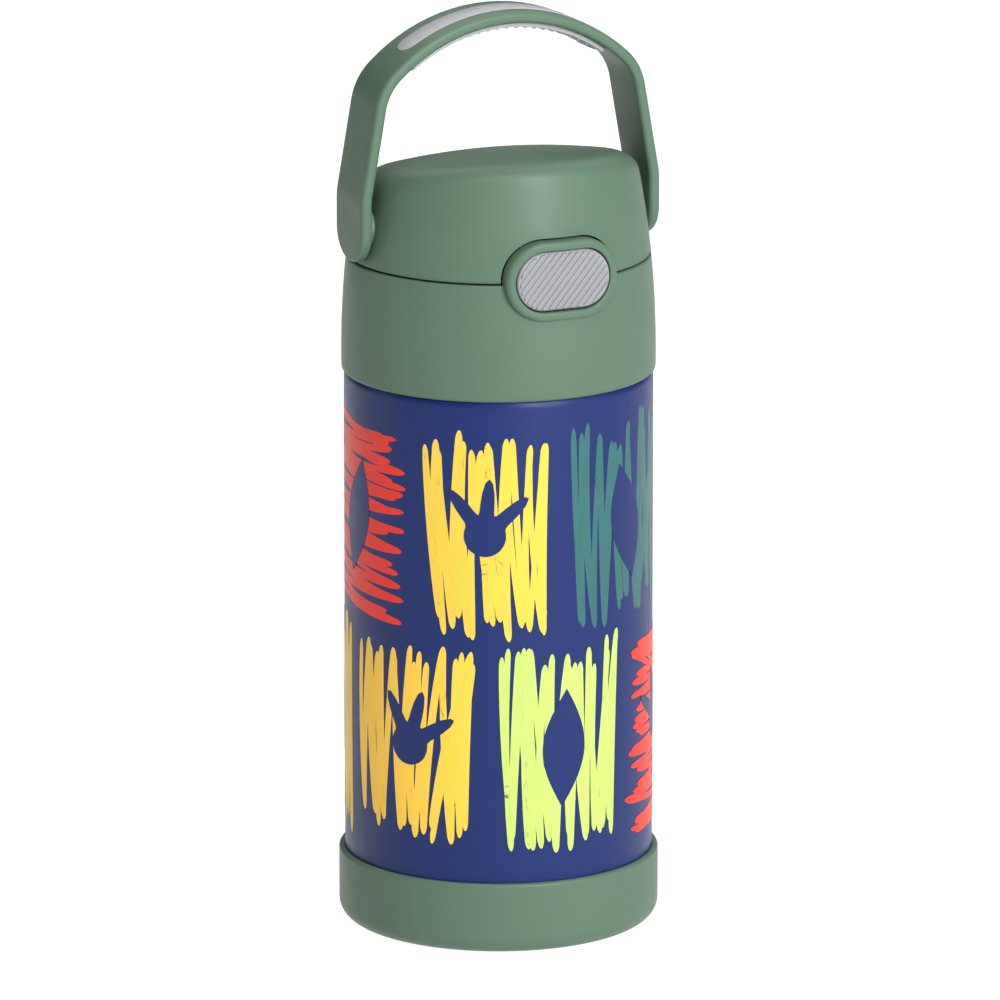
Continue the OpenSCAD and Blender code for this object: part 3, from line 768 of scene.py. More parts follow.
def collar():
    wall_in = side_r(SEAM_Z) - LID_WALL
    ledge_z = DECK_Z - 1.8 * MM
    profile = (rounded([(SHELL_R - 0.3 * MM, COLLAR_Z), (side_r(COLLAR_Z), COLLAR_Z, 0.7 * MM),
                        (side_r(COLLAR_Z + 2 * MM), COLLAR_Z + 2 * MM)], 5)
               + side_points(COLLAR_Z + 3 * MM, SEAM_Z - 1 * MM, 12)
               + rounded([(side_r(SEAM_Z - 0.8 * MM), SEAM_Z - 0.8 * MM),
                          (side_r(SEAM_Z), SEAM_Z, 0.45 * MM), (wall_in, SEAM_Z, 0.3 * MM),
                          (wall_in, ledge_z), (wall_in - 1.2 * MM, ledge_z),
                          (wall_in - 1.2 * MM, ledge_z - 1.2 * MM),
                          (COLLAR_R - LID_WALL, ledge_z - 3 * MM),
                          (COLLAR_R - LID_WALL, COLLAR_Z + 1.8 * MM)], 5))
    ring = lathe("lid_ring", profile)
    hole = stadium(BEZEL_W - 0.6 * MM, BEZEL_H - 0.6 * MM)
    carve(ring, front_prism("button_hole", hole, BUTTON_Z, BEZEL_Y - 2 * MM, HOOK_Y))
    carve(ring, block("hinge_notch", (-NOTCH_HALF, HINGE_Y - 5 * MM, NOTCH_FLOOR_Z),
                      (NOTCH_HALF, HINGE_Y + 9 * MM, NOTCH_FLOOR_Z + 20 * MM)))
    for side in (-1, 1):
        carve(ring, collar_knuckle(side), "UNION")
    return ring


fit_out(collar(), "lid", green_plastic, ["lid_collar"], angle=30)

# %% [markdown]
# ## The bezel
# A raised oval ring frames the button. Its face follows a flatter curve than the collar, so it
# stands out further at its ends. One cross-section, with a soft outer edge and a crisp inner
# edge, is carried round the oval.

# %% Bezel
def oval(inset, steps=26, straight=6):
    """Points round the bezel's oval, inset from its edge, with points on the straights too."""
    height = BEZEL_H / 2 - inset
    half = (BEZEL_W - BEZEL_H) / 2
    right = arc((half, 0), height, -90, 90, steps)
    left = arc((-half, 0), height, 90, 270, steps)
    across = [half - 2 * half * i / straight for i in range(1, straight)]
    return (right + [(x, height) for x in across] + left
            + [(-x, -height) for x in across] + right[:1])


def bezel():
    deep = 4.5 * MM
    soft, crisp = 0.9 * MM, 0.45 * MM
    section = (arc((soft, soft), soft, 180, 270, 8)
               + arc((BEZEL_RING - crisp, crisp), crisp, 270, 360, 4)
               + [(BEZEL_RING, 2 * MM), (BEZEL_RING, deep), (0, deep), (0, 2.5 * MM)])
    section.append(section[0])

    def face_y(x):
        return BEZEL_Y + BEZEL_FACE_R - math.sqrt(BEZEL_FACE_R ** 2 - x ** 2)

    rings = [[(x, min(face_y(x) + depth, BEZEL_Y + deep), BUTTON_Z + z) for x, z in oval(inset)]
             for inset, depth in section]
    return skin("button_bezel", rings)


fit_out(bezel(), "lid", green_plastic, ["lid_collar"], angle=50)

# %% [markdown]
# ## The push button
# The button is light grey with fine slanted ribs inside a smooth border, so that a wet thumb
# doesn't slip. One rib is made, copied across the face, turned, and trimmed to the oval.

# %% Button
RIB_PITCH = 1.3 * MM
RIB_WIDTH = 0.68 * MM
RIB_HEIGHT = 0.4 * MM
RIB_ANGLE = math.radians(40)


def rib_field(face_y):
    reach = BUTTON_W * 0.8
    count = int(reach / RIB_PITCH)
    section = rounded([(-RIB_WIDTH / 2, RIB_HEIGHT), (-RIB_WIDTH / 2 + 0.12 * MM, 0, 0.2 * MM),
                       (RIB_WIDTH / 2 - 0.12 * MM, 0, 0.2 * MM), (RIB_WIDTH / 2, RIB_HEIGHT),
                       (RIB_WIDTH / 2, 2 * RIB_HEIGHT), (-RIB_WIDTH / 2, 2 * RIB_HEIGHT)], 3)
    ribs = []
    for i in range(-count, count + 1):
        shift = i * RIB_PITCH
        ribs.append(prism("rib", section,
                          lambda p: (p[0] + shift, face_y + p[1], BUTTON_Z - reach),
                          (0, 0, 2 * reach)))
    field = join("rib_field", ribs)
    bpy.ops.object.mode_set(mode="EDIT")
    bpy.ops.mesh.select_all(action="SELECT")
    bpy.ops.transform.rotate(value=-RIB_ANGLE, orient_axis="Y",
                             center_override=(0, face_y, BUTTON_Z))
    bpy.ops.object.mode_set(mode="OBJECT")
    return field


def button():
    face_y = low("button_cap").y
    border = 0.55 * MM
    cap = front_prism("push_button", stadium(BUTTON_W, BUTTON_H, 28), BUTTON_Z,
                      face_y + RIB_HEIGHT, high("button_cap").y)
    soften(cap, 0.55 * MM, 4)
    field = rib_field(face_y)
    trim = front_prism("rib_trim", stadium(BUTTON_W - 2 * border, BUTTON_H - 2 * border, 28),
                       BUTTON_Z, face_y - 1 * MM, face_y + 1.6 * RIB_HEIGHT)
    carve(field, trim, "INTERSECT")
    return join("push_button", [cap, field])


fit_out(button(), "button", grey_plastic, ["button_cap"], angle=30)

# %% [markdown]
# ## The slider behind the button
# Behind the cap, hidden until the lid is open, a plate stops the button from falling out, and a
# frame carries the bar that catches the cover's hook.

# %% Slider
def slider():
    front, back = low("button_slider").y, high("button_slider").y
    tongue_low = DECK_Z + 1.8 * MM
    plate = front_prism("catch_slider", stadium(PLATE_W, PLATE_H, 24), BUTTON_Z,
                        front, front + 1.2 * MM)
    half = 6.5 * MM
    tongue = block("tongue", (-half, front + 0.7 * MM, tongue_low),
                   (half, back, tongue_low + 1.5 * MM))
    carve(tongue, block("window", (-half + 2 * MM, front + 1.2 * MM, tongue_low - 1 * MM),
                        (half - 2 * MM, back - 2 * MM, tongue_low + 3 * MM)))
    carve(plate, tongue, "UNION")
    return soften(plate, 0.2 * MM, 2)


fit_out(slider(), "button", green_plastic, ["button_slider"])

# %% [markdown]
# ## The cover
# The cover's side carries on from the collar and rolls over a soft edge into a top that slopes
# down towards the hinge. The slope makes every cross-section a little different, so the shell is
# a skin over rings: up the outside, over the top, and back down the inside.

# %% Cover form
COVER_TOP_Z = SEAM_Z + 23.8 * MM
TILT = math.tan(math.radians(9.4))
EDGE_R = 7 * MM
SOFT_EDGE_R = 9.5 * MM
CROWN_R = side_r(COVER_Z) - 2 * MM
FLARE = 0.33
FLARE_ANGLE = math.atan(FLARE)
TOP_DOME = 2.2 * MM
DOME_SLOPE = math.radians(11)
BLEND = 0.35 * MM


def softer(a, b):
    """The smaller of two radii, with the change from one to the other smoothed."""
    return -BLEND * math.log(math.exp(-a / BLEND) + math.exp(-b / BLEND))


def cover_ring(form_r, depth, inset, angles):
    """A ring of the cover: form_r is its radius, and depth how far it lies under the top."""
    ring = []
    for a in angles:
        r = form_r
        for _ in range(3):
            z = max(COVER_Z, COVER_TOP_Z - depth - TILT * r * math.sin(a))
            r = softer(form_r, side_r(z) - inset) if form_r > 0 else 0
        ring.append((r * math.cos(a), r * math.sin(a), z))
    return ring


def cover_rings(inset, foot, angles):
    """Rings from the seam to the middle of the top; foot lists (inset, height) at the seam."""
    edge = SOFT_EDGE_R - inset
    bend = SOFT_EDGE_R + TOP_DOME
    slack = FLARE * (bend - EDGE_R)
    core = CROWN_R + slack - SOFT_EDGE_R / math.cos(FLARE_ANGLE)
    side_end = bend - edge * math.sin(FLARE_ANGLE)
    rings = [[((side_r(COVER_Z) - d) * math.cos(a), (side_r(COVER_Z) - d) * math.sin(a),
               COVER_Z + h) for a in angles] for d, h in foot]
    rise = foot[-1][1]
    for k in range(13):
        ring = []
        for a in angles:
            deepest = COVER_TOP_Z - COVER_Z - rise - TILT * side_r(COVER_Z) * math.sin(a)
            depth = deepest + (side_end - deepest) * k / 12
            form_r = CROWN_R - inset / math.cos(FLARE_ANGLE) + FLARE * (depth - EDGE_R)
            ring += cover_ring(form_r, depth, inset, [a])
        rings.append(ring)
    last = math.pi / 2 - DOME_SLOPE
    for k in range(1, 13):
        a = FLARE_ANGLE + (last - FLARE_ANGLE) * k / 12
        rings.append(cover_ring(core + edge * math.cos(a), bend - edge * math.sin(a), inset,
                                angles))
    dome_r = core + edge * math.cos(last)
    dome_depth = bend - edge * math.sin(last) - TOP_DOME
    for k in (0.9, 0.75, 0.6, 0.45, 0.3, 0.15, 0.0):
        rings.append(cover_ring(dome_r * k, dome_depth + TOP_DOME * k * k, inset, angles))
    return rings


def cover_form():
    steps = 192
    angles = [math.tau * i / steps for i in range(steps + 1)]
    outside = cover_rings(0, [(0.45 * MM, 0), (0.13 * MM, 0.13 * MM), (0, 0.45 * MM)], angles)
    inside = cover_rings(LID_WALL, [(LID_WALL, 0)], angles)
    return skin("flip_cover", outside + inside[::-1] + outside[:1])


# %% Cover
PIVOT_Z = low("handle_frame").z + high("handle_frame").y
LEG_X = high("handle_frame").x
STRAP_T = 2.6 * MM
STRAP_W = 2 * high("handle_frame").y
BOSS_X = LEG_X - STRAP_T - 0.25 * MM
BOSS_IN_X = BOSS_X - 4.65 * MM
STUD_R = 3 * MM


KNUCKLE_IN_X, KNUCKLE_OUT_X = 2.9 * MM, 6.2 * MM


def along_x(name, radius, y, z, x0, x1):
    return rod(name, radius, (x0, y, z), (x1, y, z))


def cover():
    shell = cover_form()
    for side in (-1, 1):
        boss = along_x("boss", 5.1 * MM, 0, PIVOT_Z, BOSS_IN_X * side, BOSS_X * side)
        carve(shell, soften(boss, 0.3 * MM, 2), "UNION")
        knuckle = along_x("cover_knuckle", KNUCKLE_R, HINGE_Y, HINGE_Z, KNUCKLE_IN_X * side,
                          KNUCKLE_OUT_X * side)
        carve(shell, soften(knuckle, 0.3 * MM, 2), "UNION")
    arch = stadium(BEZEL_W + 0.8 * MM, BEZEL_H + 0.8 * MM, 28)
    carve(shell, front_prism("arch", arch, BUTTON_Z, BEZEL_Y - 6 * MM, HOOK_Y))
    room = KNUCKLE_R + 0.3 * MM
    for x0, x1 in ((-NOTCH_HALF, -KNUCKLE_OUT_X), (-KNUCKLE_IN_X, KNUCKLE_IN_X),
                   (KNUCKLE_OUT_X, NOTCH_HALF)):
        carve(shell, along_x("knuckle_room", room, HINGE_Y, HINGE_Z, x0, x1))
    carve(shell, along_x("pin_bore", 1.55 * MM, HINGE_Y, HINGE_Z, -12 * MM, 12 * MM))
    for side in (-1, 1):
        carve(shell, along_x("stud_bore", STUD_R + 0.05 * MM, 0, PIVOT_Z,
                             (BOSS_IN_X - 1 * MM) * side, (BOSS_X + 1 * MM) * side))
    return shell


fit_out(cover(), "cover", green_plastic, ["cover_shell"], angle=30)

# %% [markdown]
# ## The cover's liner
# Inside the cover sits a second, light grey moulding that keeps the spout clean. It carries the
# hook that the button's bar holds down.

# %% Liner
def liner():
    r = 26.28 * MM
    wall = 1.2 * MM
    base = COVER_Z + 0.6 * MM
    top = high("cover_liner").z
    flange = side_r(base + wall) - LID_WALL - 0.05 * MM
    profile = rounded([
        (r - wall, base, 0.3 * MM), (flange, base, 0.3 * MM), (flange, base + wall, 0.3 * MM),
        (r, base + wall, 0.5 * MM), (r, top, 5 * MM), (0, top), (0, top - wall),
        (r - wall, top - wall, 3.8 * MM)])
    bowl = lathe("cover_liner_bowl", profile)
    carve(bowl, block("bezel_room", (-BEZEL_W / 2 - 1 * MM, -60 * MM, base - 1 * MM),
                      (BEZEL_W / 2 + 1 * MM, HOOK_Y, base + 9 * MM)))
    carve(bowl, block("hinge_room", (-NOTCH_HALF, r, base - 1 * MM),
                      (NOTCH_HALF, 60 * MM, base + 9 * MM)))
    foot = low("cover_liner").z
    hook = prism("hook", rounded([
        (0, base + 3 * MM), (0, foot, 0.3 * MM), (2.7 * MM, foot, 0.3 * MM),
        (2.7 * MM, foot + 0.9 * MM, 0.2 * MM), (1.4 * MM, foot + 0.9 * MM, 0.2 * MM),
        (1.4 * MM, base + 3 * MM)], 3),
        lambda p: (-4.2 * MM, HOOK_Y + p[0], p[1]), (8.4 * MM, 0, 0))
    return carve(bowl, hook, "UNION")


fit_out(liner(), "cover", grey_plastic, ["cover_liner"])

# %% [markdown]
# ## The carry loop
# A strap is easiest to shape flat and then bend. The flat strap is a long oval plate with all
# its edges rounded and a shallow channel for the grip. It is sliced across where it will curve,
# and every point is then carried to the loop's path: over the crown, round the corner, down the
# leaning leg, and straight past the knee to the pivot.

# %% Path of the loop
LOOP_TOP = high("handle_frame").z
LOOP_CROWN_R = LEG_X + 5.63 * MM
LOOP_CORNER_R = 14 * MM
KNEE_R = 16 * MM
LEAN = math.radians(10)
KNEE_Z = PIVOT_Z + 7.5 * MM
crown_z = LOOP_TOP - LOOP_CROWN_R
lean_reach = (LEG_X * math.cos(LEAN) + (KNEE_Z - crown_z) * math.sin(LEAN) - LOOP_CORNER_R)
CROWN_TURN = math.pi / 2 - LEAN - math.acos(lean_reach / (LOOP_CROWN_R - LOOP_CORNER_R))
CORNER_TURN = math.pi / 2 - LEAN - CROWN_TURN


def loop_segments():
    """(length, turning radius or None) from the middle of the crown down to the pivot."""
    corner_x = (LOOP_CROWN_R - LOOP_CORNER_R) * math.sin(CROWN_TURN)
    corner_z = crown_z + (LOOP_CROWN_R - LOOP_CORNER_R) * math.cos(CROWN_TURN)
    start_x = corner_x + LOOP_CORNER_R * math.cos(LEAN)
    start_z = corner_z + LOOP_CORNER_R * math.sin(LEAN)
    leaning = (LEG_X - KNEE_R * (1 - math.cos(LEAN)) - start_x) / math.sin(LEAN)
    knee_end_z = start_z - leaning * math.cos(LEAN) - KNEE_R * math.sin(LEAN)
    return [(LOOP_CROWN_R * CROWN_TURN, LOOP_CROWN_R), (LOOP_CORNER_R * CORNER_TURN, LOOP_CORNER_R),
            (leaning, None), (KNEE_R * LEAN, KNEE_R), (knee_end_z - PIVOT_Z, None)]


SEGMENTS = loop_segments()
LOOP_HALF = sum(length for length, _ in SEGMENTS)


def on_loop(s, y, depth):
    """Point of the strap: s along the outer face from the crown's middle, depth under it."""
    x, z, turn = 0.0, LOOP_TOP, 0.0
    left = abs(s)
    for i, (length, radius) in enumerate(SEGMENTS):
        step = left if i == len(SEGMENTS) - 1 else min(left, length)
        if radius is None:
            x += step * math.cos(turn)
            z -= step * math.sin(turn)
        else:
            end = turn + step / radius
            x += radius * (math.sin(end) - math.sin(turn))
            z -= radius * (math.cos(turn) - math.cos(end))
            turn = end
        left -= step
        if left <= 0:
            break
    x -= depth * math.sin(turn)
    z -= depth * math.cos(turn)
    return (math.copysign(x, s) if s else x, y, z)


print("half length of the strap in mm: %.1f" % (LOOP_HALF / MM))


# %% Bending a flat plate
def bend_stations():
    """Places along the strap where it needs a slice, closer where it bends more."""
    stations, at = [], 0.0
    for length, radius in SEGMENTS:
        count = 2 if radius is None else math.ceil(length / (radius * math.radians(4)))
        stations += [at + length * i / count for i in range(count)]
        at += length
    return sorted({round(side * s, 7) for s in stations for side in (-1, 1)})


def bend(plate):
    """Slices a flat plate across, and carries it onto the loop. Its top face is at z = 0."""
    pick(plate)
    bpy.ops.object.mode_set(mode="EDIT")
    reach = max(abs(v.co.x) for v in plate.data.vertices)
    for s in bend_stations():
        if abs(s) < reach - 0.05 * MM:
            bpy.ops.mesh.select_all(action="SELECT")
            bpy.ops.mesh.bisect(plane_co=(s, 0, 0), plane_no=(1, 0, 0))
    bpy.ops.object.mode_set(mode="OBJECT")
    for vertex in plate.data.vertices:
        vertex.co = on_loop(vertex.co.x, vertex.co.y, -vertex.co.z)
    return tidy_mesh(plate)


def flat_plate(name, points, top, thickness):
    return prism(name, points, lambda p: (p[0], p[1], top), (0, 0, -thickness))


# %% Strap
GRIP_HALF = LOOP_CROWN_R * math.asin(high("handle_grip").x / LOOP_CROWN_R) - 5 * MM
PAD_HALF = GRIP_HALF + 1.8 * MM
INLAY_W = 6 * MM
INLAY_DEPTH = 0.8 * MM


def strap():
    plate = flat_plate("carry_strap", stadium(2 * LOOP_HALF + STRAP_W, STRAP_W, 24), 0, STRAP_T)
    soften(plate, 0.95 * MM, 5)
    gap = 0.12 * MM
    carve(plate, flat_plate("channel", stadium(2 * (GRIP_HALF + gap), INLAY_W + 2 * gap, 14),
                            1 * MM, 1 * MM + INLAY_DEPTH))
    bend(plate)
    for side in (-1, 1):
        stud = along_x("stud", STUD_R, 0, PIVOT_Z, (BOSS_IN_X + 0.7 * MM) * side,
                       (LEG_X - STRAP_T + 0.5 * MM) * side)
        carve(plate, soften(stud, 0.3 * MM, 2), "UNION")
    return plate


fit_out(strap(), "carry_loop", green_plastic, ["handle_frame"])

# %% [markdown]
# ## The grip on the crown
# A softer light grey material is moulded into the crown: a smooth oval inlay on top, and a
# ribbed pad underneath where the fingers close.

# %% Grip
PAD_W = 11 * MM
PAD_T = 1.1 * MM
CROWN_STEP = PAD_HALF / 11


def grip():
    inlay = flat_plate("crown_grip", stadium(2 * GRIP_HALF, INLAY_W, 14), 0.15 * MM,
                       0.13 * MM + INLAY_DEPTH)
    soften(inlay, 0.14 * MM, 2)
    bend(inlay)
    half = PAD_HALF
    pad = flat_plate("pad", rounded([(-half, -PAD_W / 2, 1.5 * MM), (half, -PAD_W / 2, 1.5 * MM),
                                     (half, PAD_W / 2, 1.5 * MM), (-half, PAD_W / 2, 1.5 * MM)]),
                     -STRAP_T + 0.02 * MM, PAD_T)
    soften(pad, 0.3 * MM, 2, angle=60)
    bend(pad)
    pieces = [inlay, pad]
    for i in range(-10, 11):
        start = on_loop(i * CROWN_STEP, -PAD_W / 2 + 1 * MM, STRAP_T + PAD_T)
        end = on_loop(i * CROWN_STEP, PAD_W / 2 - 1 * MM, STRAP_T + PAD_T)
        rib = rod("pad_rib", 0.45 * MM, start, end, sides=16)
        pieces.append(soften(rib, 0.2 * MM, 2, angle=60))
    return join("crown_grip", pieces)


fit_out(grip(), "carry_loop", grey_grip, ["handle_grip"])

# %% [markdown]
# ## Under the cover
# With the cover open the drinker sees the deck, the spout in its seat, and the two button
# springs. The deck and its skirt are one spun moulding with a round port for the spout's seat.

# %% Deck
SPOUT_Y = (low("spout_base").y + high("spout_base").y) / 2
SEAT_R = 6.6 * MM
SPRING_X = 9.05 * MM


def deck():
    r = high("lid_insert").x
    under = DECK_Z - 1.8 * MM
    root, outer = 28.15 * MM, 29.6 * MM
    low_z = low("lid_insert").z
    inner = [(root, under)]
    for turn in (0.5, 1.5):
        z = THREAD_TOP_Z - turn * THREAD_PITCH
        inner += [(root, z + 0.9 * MM), (root - THREAD_DEPTH, z + 0.4 * MM, 0.2 * MM),
                  (root - THREAD_DEPTH, z - 0.4 * MM, 0.2 * MM), (root, z - 0.9 * MM)]
    profile = rounded([(0, under)] + inner + [
        (root, low_z, 0.3 * MM), (outer, low_z, 0.3 * MM), (outer, under, 0.4 * MM),
        (r, under), (r, DECK_Z, 0.3 * MM), (0, DECK_Z)], 3)
    tray = lathe("lid_deck", profile)
    for side in (-1, 1):
        x = SPRING_X * side
        post = block("spring_post", (x - 2.15 * MM, -21.48 * MM, DECK_Z - 0.5 * MM),
                     (x + 2.15 * MM, -19.48 * MM, high("lid_insert").z))
        carve(tray, soften(post, 0.4 * MM, 3), "UNION")
    carve(tray, rod("port", SEAT_R + 0.05 * MM, (0, SPOUT_Y, DECK_Z - 5 * MM),
                    (0, SPOUT_Y, DECK_Z + 5 * MM), 96))
    carve(tray, front_prism("bezel_room", stadium(BEZEL_W + 0.1 * MM, BEZEL_H + 0.1 * MM),
                            BUTTON_Z, -60 * MM, BEZEL_Y + 4.55 * MM))
    return tray


fit_out(deck(), "lid", grey_plastic, ["lid_insert"])

# %% Gasket
def gasket():
    r0, r1 = MOUTH_R - 0.4 * MM, high("neck_gasket").x
    z0, z1 = low("neck_gasket").z, high("neck_gasket").z
    return lathe("mouth_gasket", rounded([(r0, z0, 0.3 * MM), (r1, z0, 0.3 * MM),
                                          (r1, z1, 0.3 * MM), (r0, z1, 0.3 * MM)], 4))


fit_out(gasket(), "lid", gasket_silicone, ["neck_gasket"])

# %% [markdown]
# ## The spout and the straw
# The spout is one soft tube. Its root sits in a round seat, and its tip lies folded forward flat
# under the closed cover.

# %% Spout seat
SPOUT_Z = DECK_Z + 6.7 * MM
SEAT_TOP_Z = high("spout_base").z
SPOUT_R = 4 * MM
SPOUT_BORE_R = 2.4 * MM
TIP_Y = low("spout_tip").y


def spout_seat():
    foot = low("spout_base").z
    flange = 8.8 * MM
    seat = lathe("spout_seat", rounded([
        (5.05 * MM, foot + 3 * MM), (3.6 * MM, foot + 3 * MM), (3.6 * MM, foot, 0.3 * MM),
        (SEAT_R, foot, 0.5 * MM), (SEAT_R, DECK_Z), (flange, DECK_Z, 0.2 * MM),
        (flange, DECK_Z + 1.4 * MM, 0.6 * MM), (SEAT_R, DECK_Z + 1.4 * MM, 0.6 * MM),
        (SEAT_R, SEAT_TOP_Z, 0.5 * MM), (5.05 * MM, SEAT_TOP_Z, 0.3 * MM)]), steps=96)
    for vertex in seat.data.vertices:
        vertex.co.y += SPOUT_Y
    carve(seat, block("swing_room", (-4.3 * MM, SPOUT_Y - 20 * MM, SPOUT_Z - 4.3 * MM),
                      (4.3 * MM, SPOUT_Y, SPOUT_Z + 20 * MM)))
    return soften(seat, 0.25 * MM, 2, angle=50)


fit_out(spout_seat(), "lid", silicone, ["spout_base"])


# %% Spout
def spout_path():
    """(y, z, direction angle from upright) along the folded spout."""
    path = [(SPOUT_Y, SPOUT_Z - 4.6 * MM + 0.9 * MM * i, 0.0) for i in range(4)]
    bend_r = 2.6 * MM
    y, z = SPOUT_Y, SPOUT_Z - 2.6 * MM
    for k in range(1, 10):
        a = math.radians(10 * k)
        path.append((y - bend_r * (1 - math.cos(a)), z + bend_r * math.sin(a), a))
    start, count = path[-1][0], 12
    path += [(start + (TIP_Y - start) * k / count, z + bend_r, math.pi / 2)
             for k in range(1, count + 1)]
    return path


def tube_ring(y, z, direction, radius, squeeze=1.0, sides=40):
    """A circle of the spout across its centre line; squeeze flattens it at the fold."""
    ring = []
    for k in range(sides + 1):
        a = math.tau * k / sides
        across, out = radius * math.cos(a), radius * math.sin(a) * squeeze
        ring.append((across, y + out * math.cos(direction), z + out * math.sin(direction)))
    return ring


def spout():
    path = spout_path()
    outside, inside = [], []
    for y, z, a in path:
        fold = math.exp(-((a - math.pi / 4) / 0.5) ** 2)
        outside.append(tube_ring(y, z, a, SPOUT_R - 0.1 * MM, 1 - 0.12 * fold))
        inside.append(tube_ring(y, z, a, SPOUT_BORE_R, 1 - 0.5 * fold))
    y, z, a = path[-1]
    lip = [tube_ring(y + 0.5 * MM, z, a, SPOUT_R),
           tube_ring(y + 0.12 * MM, z, a, SPOUT_R - 0.15 * MM),
           tube_ring(y, z, a, SPOUT_R - 0.5 * MM),
           tube_ring(y, z, a, SPOUT_BORE_R + 0.35 * MM),
           tube_ring(y + 0.3 * MM, z, a, SPOUT_BORE_R)]
    rings = outside[:-1] + lip + inside[:-1][::-1] + outside[:1]
    return skin("soft_spout", rings)


soft_spout = spout()
smooth(soft_spout, 60)
soft_spout.data.materials.append(silicone)
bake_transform(soft_spout)
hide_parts("spout_tip")


# %% Straw
def straw():
    foot, top = low("lower_straw").z, high("lower_straw").z
    outer, bore = 3.5 * MM, 2.7 * MM
    tube = lathe("lower_straw_tube", rounded([
        (bore, foot), (outer, foot), (outer, top, 0.2 * MM), (bore, top, 0.2 * MM)]), steps=48)
    for vertex in tube.data.vertices:
        vertex.co.y += SPOUT_Y
    slant = prism("slant", [(-6 * MM, -4 * MM), (6 * MM, -4 * MM), (6 * MM, 0), (-6 * MM, 3 * MM)],
                  lambda p: (p[0], SPOUT_Y - 6 * MM, foot + p[1]), (0, 12 * MM, 0))
    return carve(tube, slant)


fit_out(straw(), "lid", white_plastic, ["lower_straw"])

# %% [markdown]
# ## Springs and the hinge pin
# A coil spring is a round wire carried along a helix. The hinge's torsion spring stays on the lid,
# and only its upper leg, which presses the cover open, moves with the cover.

# %% Springs
def wire(name, path, radius, sides=10):
    """A round wire along a path of points, closed at both ends."""
    rings = []
    last = None
    points = [Vector(p) for p in path]
    for i, here in enumerate(points):
        ahead = points[min(i + 1, len(points) - 1)] - points[max(i - 1, 0)]
        ahead.normalize()
        across = last if last else ahead.orthogonal().normalized()
        across = (across - ahead * across.dot(ahead)).normalized()
        up = ahead.cross(across)
        last = across
        ring = [here + (across * math.cos(math.tau * k / sides)
                        + up * math.sin(math.tau * k / sides)) * radius for k in range(sides + 1)]
        if i == 0:
            rings.append([here] * (sides + 1))
        rings.append(ring)
    rings.append([points[-1]] * (sides + 1))
    return skin(name, rings)


def helix(centre, radius, length, turns, start=0.0, per_turn=24):
    """Points of a helix along +X from the centre."""
    count = int(turns * per_turn)
    return [(centre[0] + length * i / count,
             centre[1] + radius * math.sin(start + math.tau * i / per_turn),
             centre[2] + radius * math.cos(start + math.tau * i / per_turn))
            for i in range(count + 1)]


def button_spring(side):
    z = (low("button_springs").z + high("button_springs").z) / 2
    y0, y1 = low("button_springs").y, high("button_springs").y
    coil = helix((0, 0, 0), 1.9 * MM, y1 - y0 - 0.5 * MM, 6)
    path = [(SPRING_X * side + p[1], y0 + 0.25 * MM + p[0], z + p[2]) for p in coil]
    spring = wire("button_spring_%s" % ("right" if side > 0 else "left"), path, 0.25 * MM)
    fit_out(spring, "lid", spring_steel, ["button_springs"], angle=60)
    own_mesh(spring)
    return spring


for side in (-1, 1):
    button_spring(side)

# %% Hinge spring and pin
HINGE_SPRING_R = 2.15 * MM
HINGE_WIRE_R = 0.3 * MM
coil_path = helix((-2.3 * MM, HINGE_Y, HINGE_Z), HINGE_SPRING_R, 4.6 * MM, 5.5, start=-math.pi / 2)
coil_path = [(-2.3 * MM, HINGE_Y - HINGE_SPRING_R, HINGE_Z - 6.4 * MM),
             (-2.3 * MM, HINGE_Y - HINGE_SPRING_R, HINGE_Z - 1 * MM)] + coil_path
fit_out(wire("hinge_spring_coil", coil_path, HINGE_WIRE_R), "lid", spring_steel,
        ["lid_spring"], angle=60)
leg_path = [(2.3 * MM, HINGE_Y - HINGE_SPRING_R, HINGE_Z + 1.0 * MM * k) for k in range(1, 8)]
fit_out(wire("hinge_spring_leg", leg_path, HINGE_WIRE_R), "cover", spring_steel,
        ["lid_spring"], angle=60)

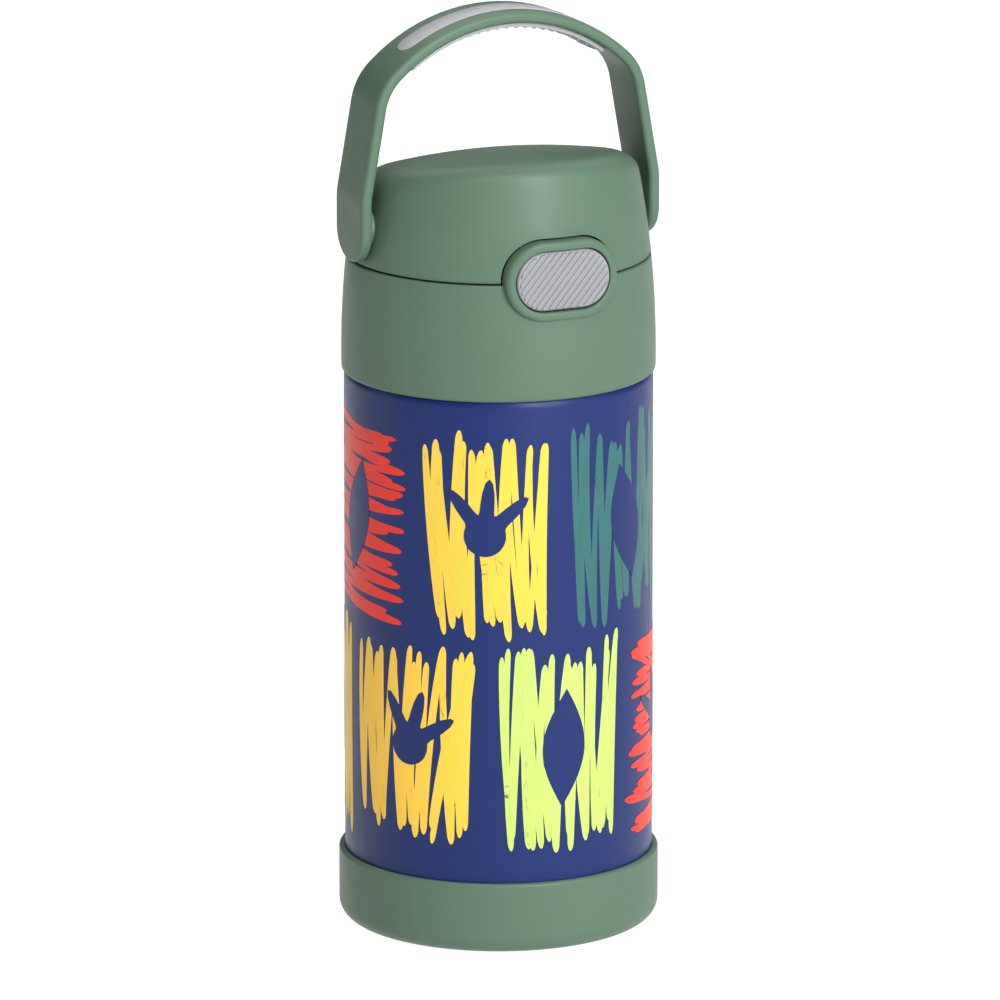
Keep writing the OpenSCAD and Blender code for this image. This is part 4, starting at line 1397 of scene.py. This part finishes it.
pin = along_x("hinge_axle", 1.5 * MM, HINGE_Y, HINGE_Z, low("hinge_pin").x, high("hinge_pin").x)
fit_out(soften(pin, 0.25 * MM, 3), "lid", spring_steel, ["hinge_pin"])

# %% [markdown]
# ## Pieces that keep their design shape
# The bottom plate, its seal and the getter tablet are closed inside the wall. Their design
# shapes are right as they are, and only get their finishes.

# %% Hidden pieces
for node, material in (("shell_bottom", flask_steel), ("evacuation_seal", seal_resin),
                       ("vacuum_getter", spring_steel)):
    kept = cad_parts[node]
    kept.data.materials.clear()
    kept.data.materials.append(material)
    print(node, "keeps its design shape")

# %% Studio
def softbox(name, azimuth, pitch, distance, size, power):
    """A square lamp that looks at the bottle from an azimuth beside the camera."""
    aim = Vector((0, 0, AIM_Z))
    back = towards_camera(CAMERA_AZIMUTH + math.radians(azimuth), math.radians(pitch))
    bpy.ops.object.light_add(type="AREA", location=aim + back * distance,
                             rotation=back.to_track_quat("Z", "Y").to_euler())
    lamp = bpy.context.object
    lamp.name = name
    lamp.data.shape = "RECTANGLE"
    lamp.data.size, lamp.data.size_y = size
    lamp.data.energy = power
    return lamp


softbox("key", 33, 24, 1.6, (0.7, 1.0), 32)
softbox("right strip", 72, 9, 1.5, (0.25, 0.5), 1.5)
softbox("top", 10, 68, 1.6, (1.0, 1.0), 16)
softbox("back fill", 180, 50, 1.8, (1.6, 1.2), 14)
softbox("left strip", -95, 14, 1.4, (0.35, 0.8), 1.5)

world = bpy.data.worlds.new("studio air")
bpy.context.scene.world = world
world.use_nodes = True
world.node_tree.nodes["Background"].inputs["Color"].default_value = (1, 1, 1, 1)
world.node_tree.nodes["Background"].inputs["Strength"].default_value = 0.05

bpy.ops.object.select_all(action="DESELECT")
bpy.ops.mesh.primitive_plane_add(size=14)
floor = bpy.context.object
floor.name = "studio_floor"
floor_white = finish("floor white", (0.2, 0.2, 0.2), 0.9, Emission_Color=(1, 1, 1, 1),
                     Emission_Strength=0.96)
floor.data.materials.append(floor_white)
bpy.context.scene.view_settings.view_transform = "Standard"
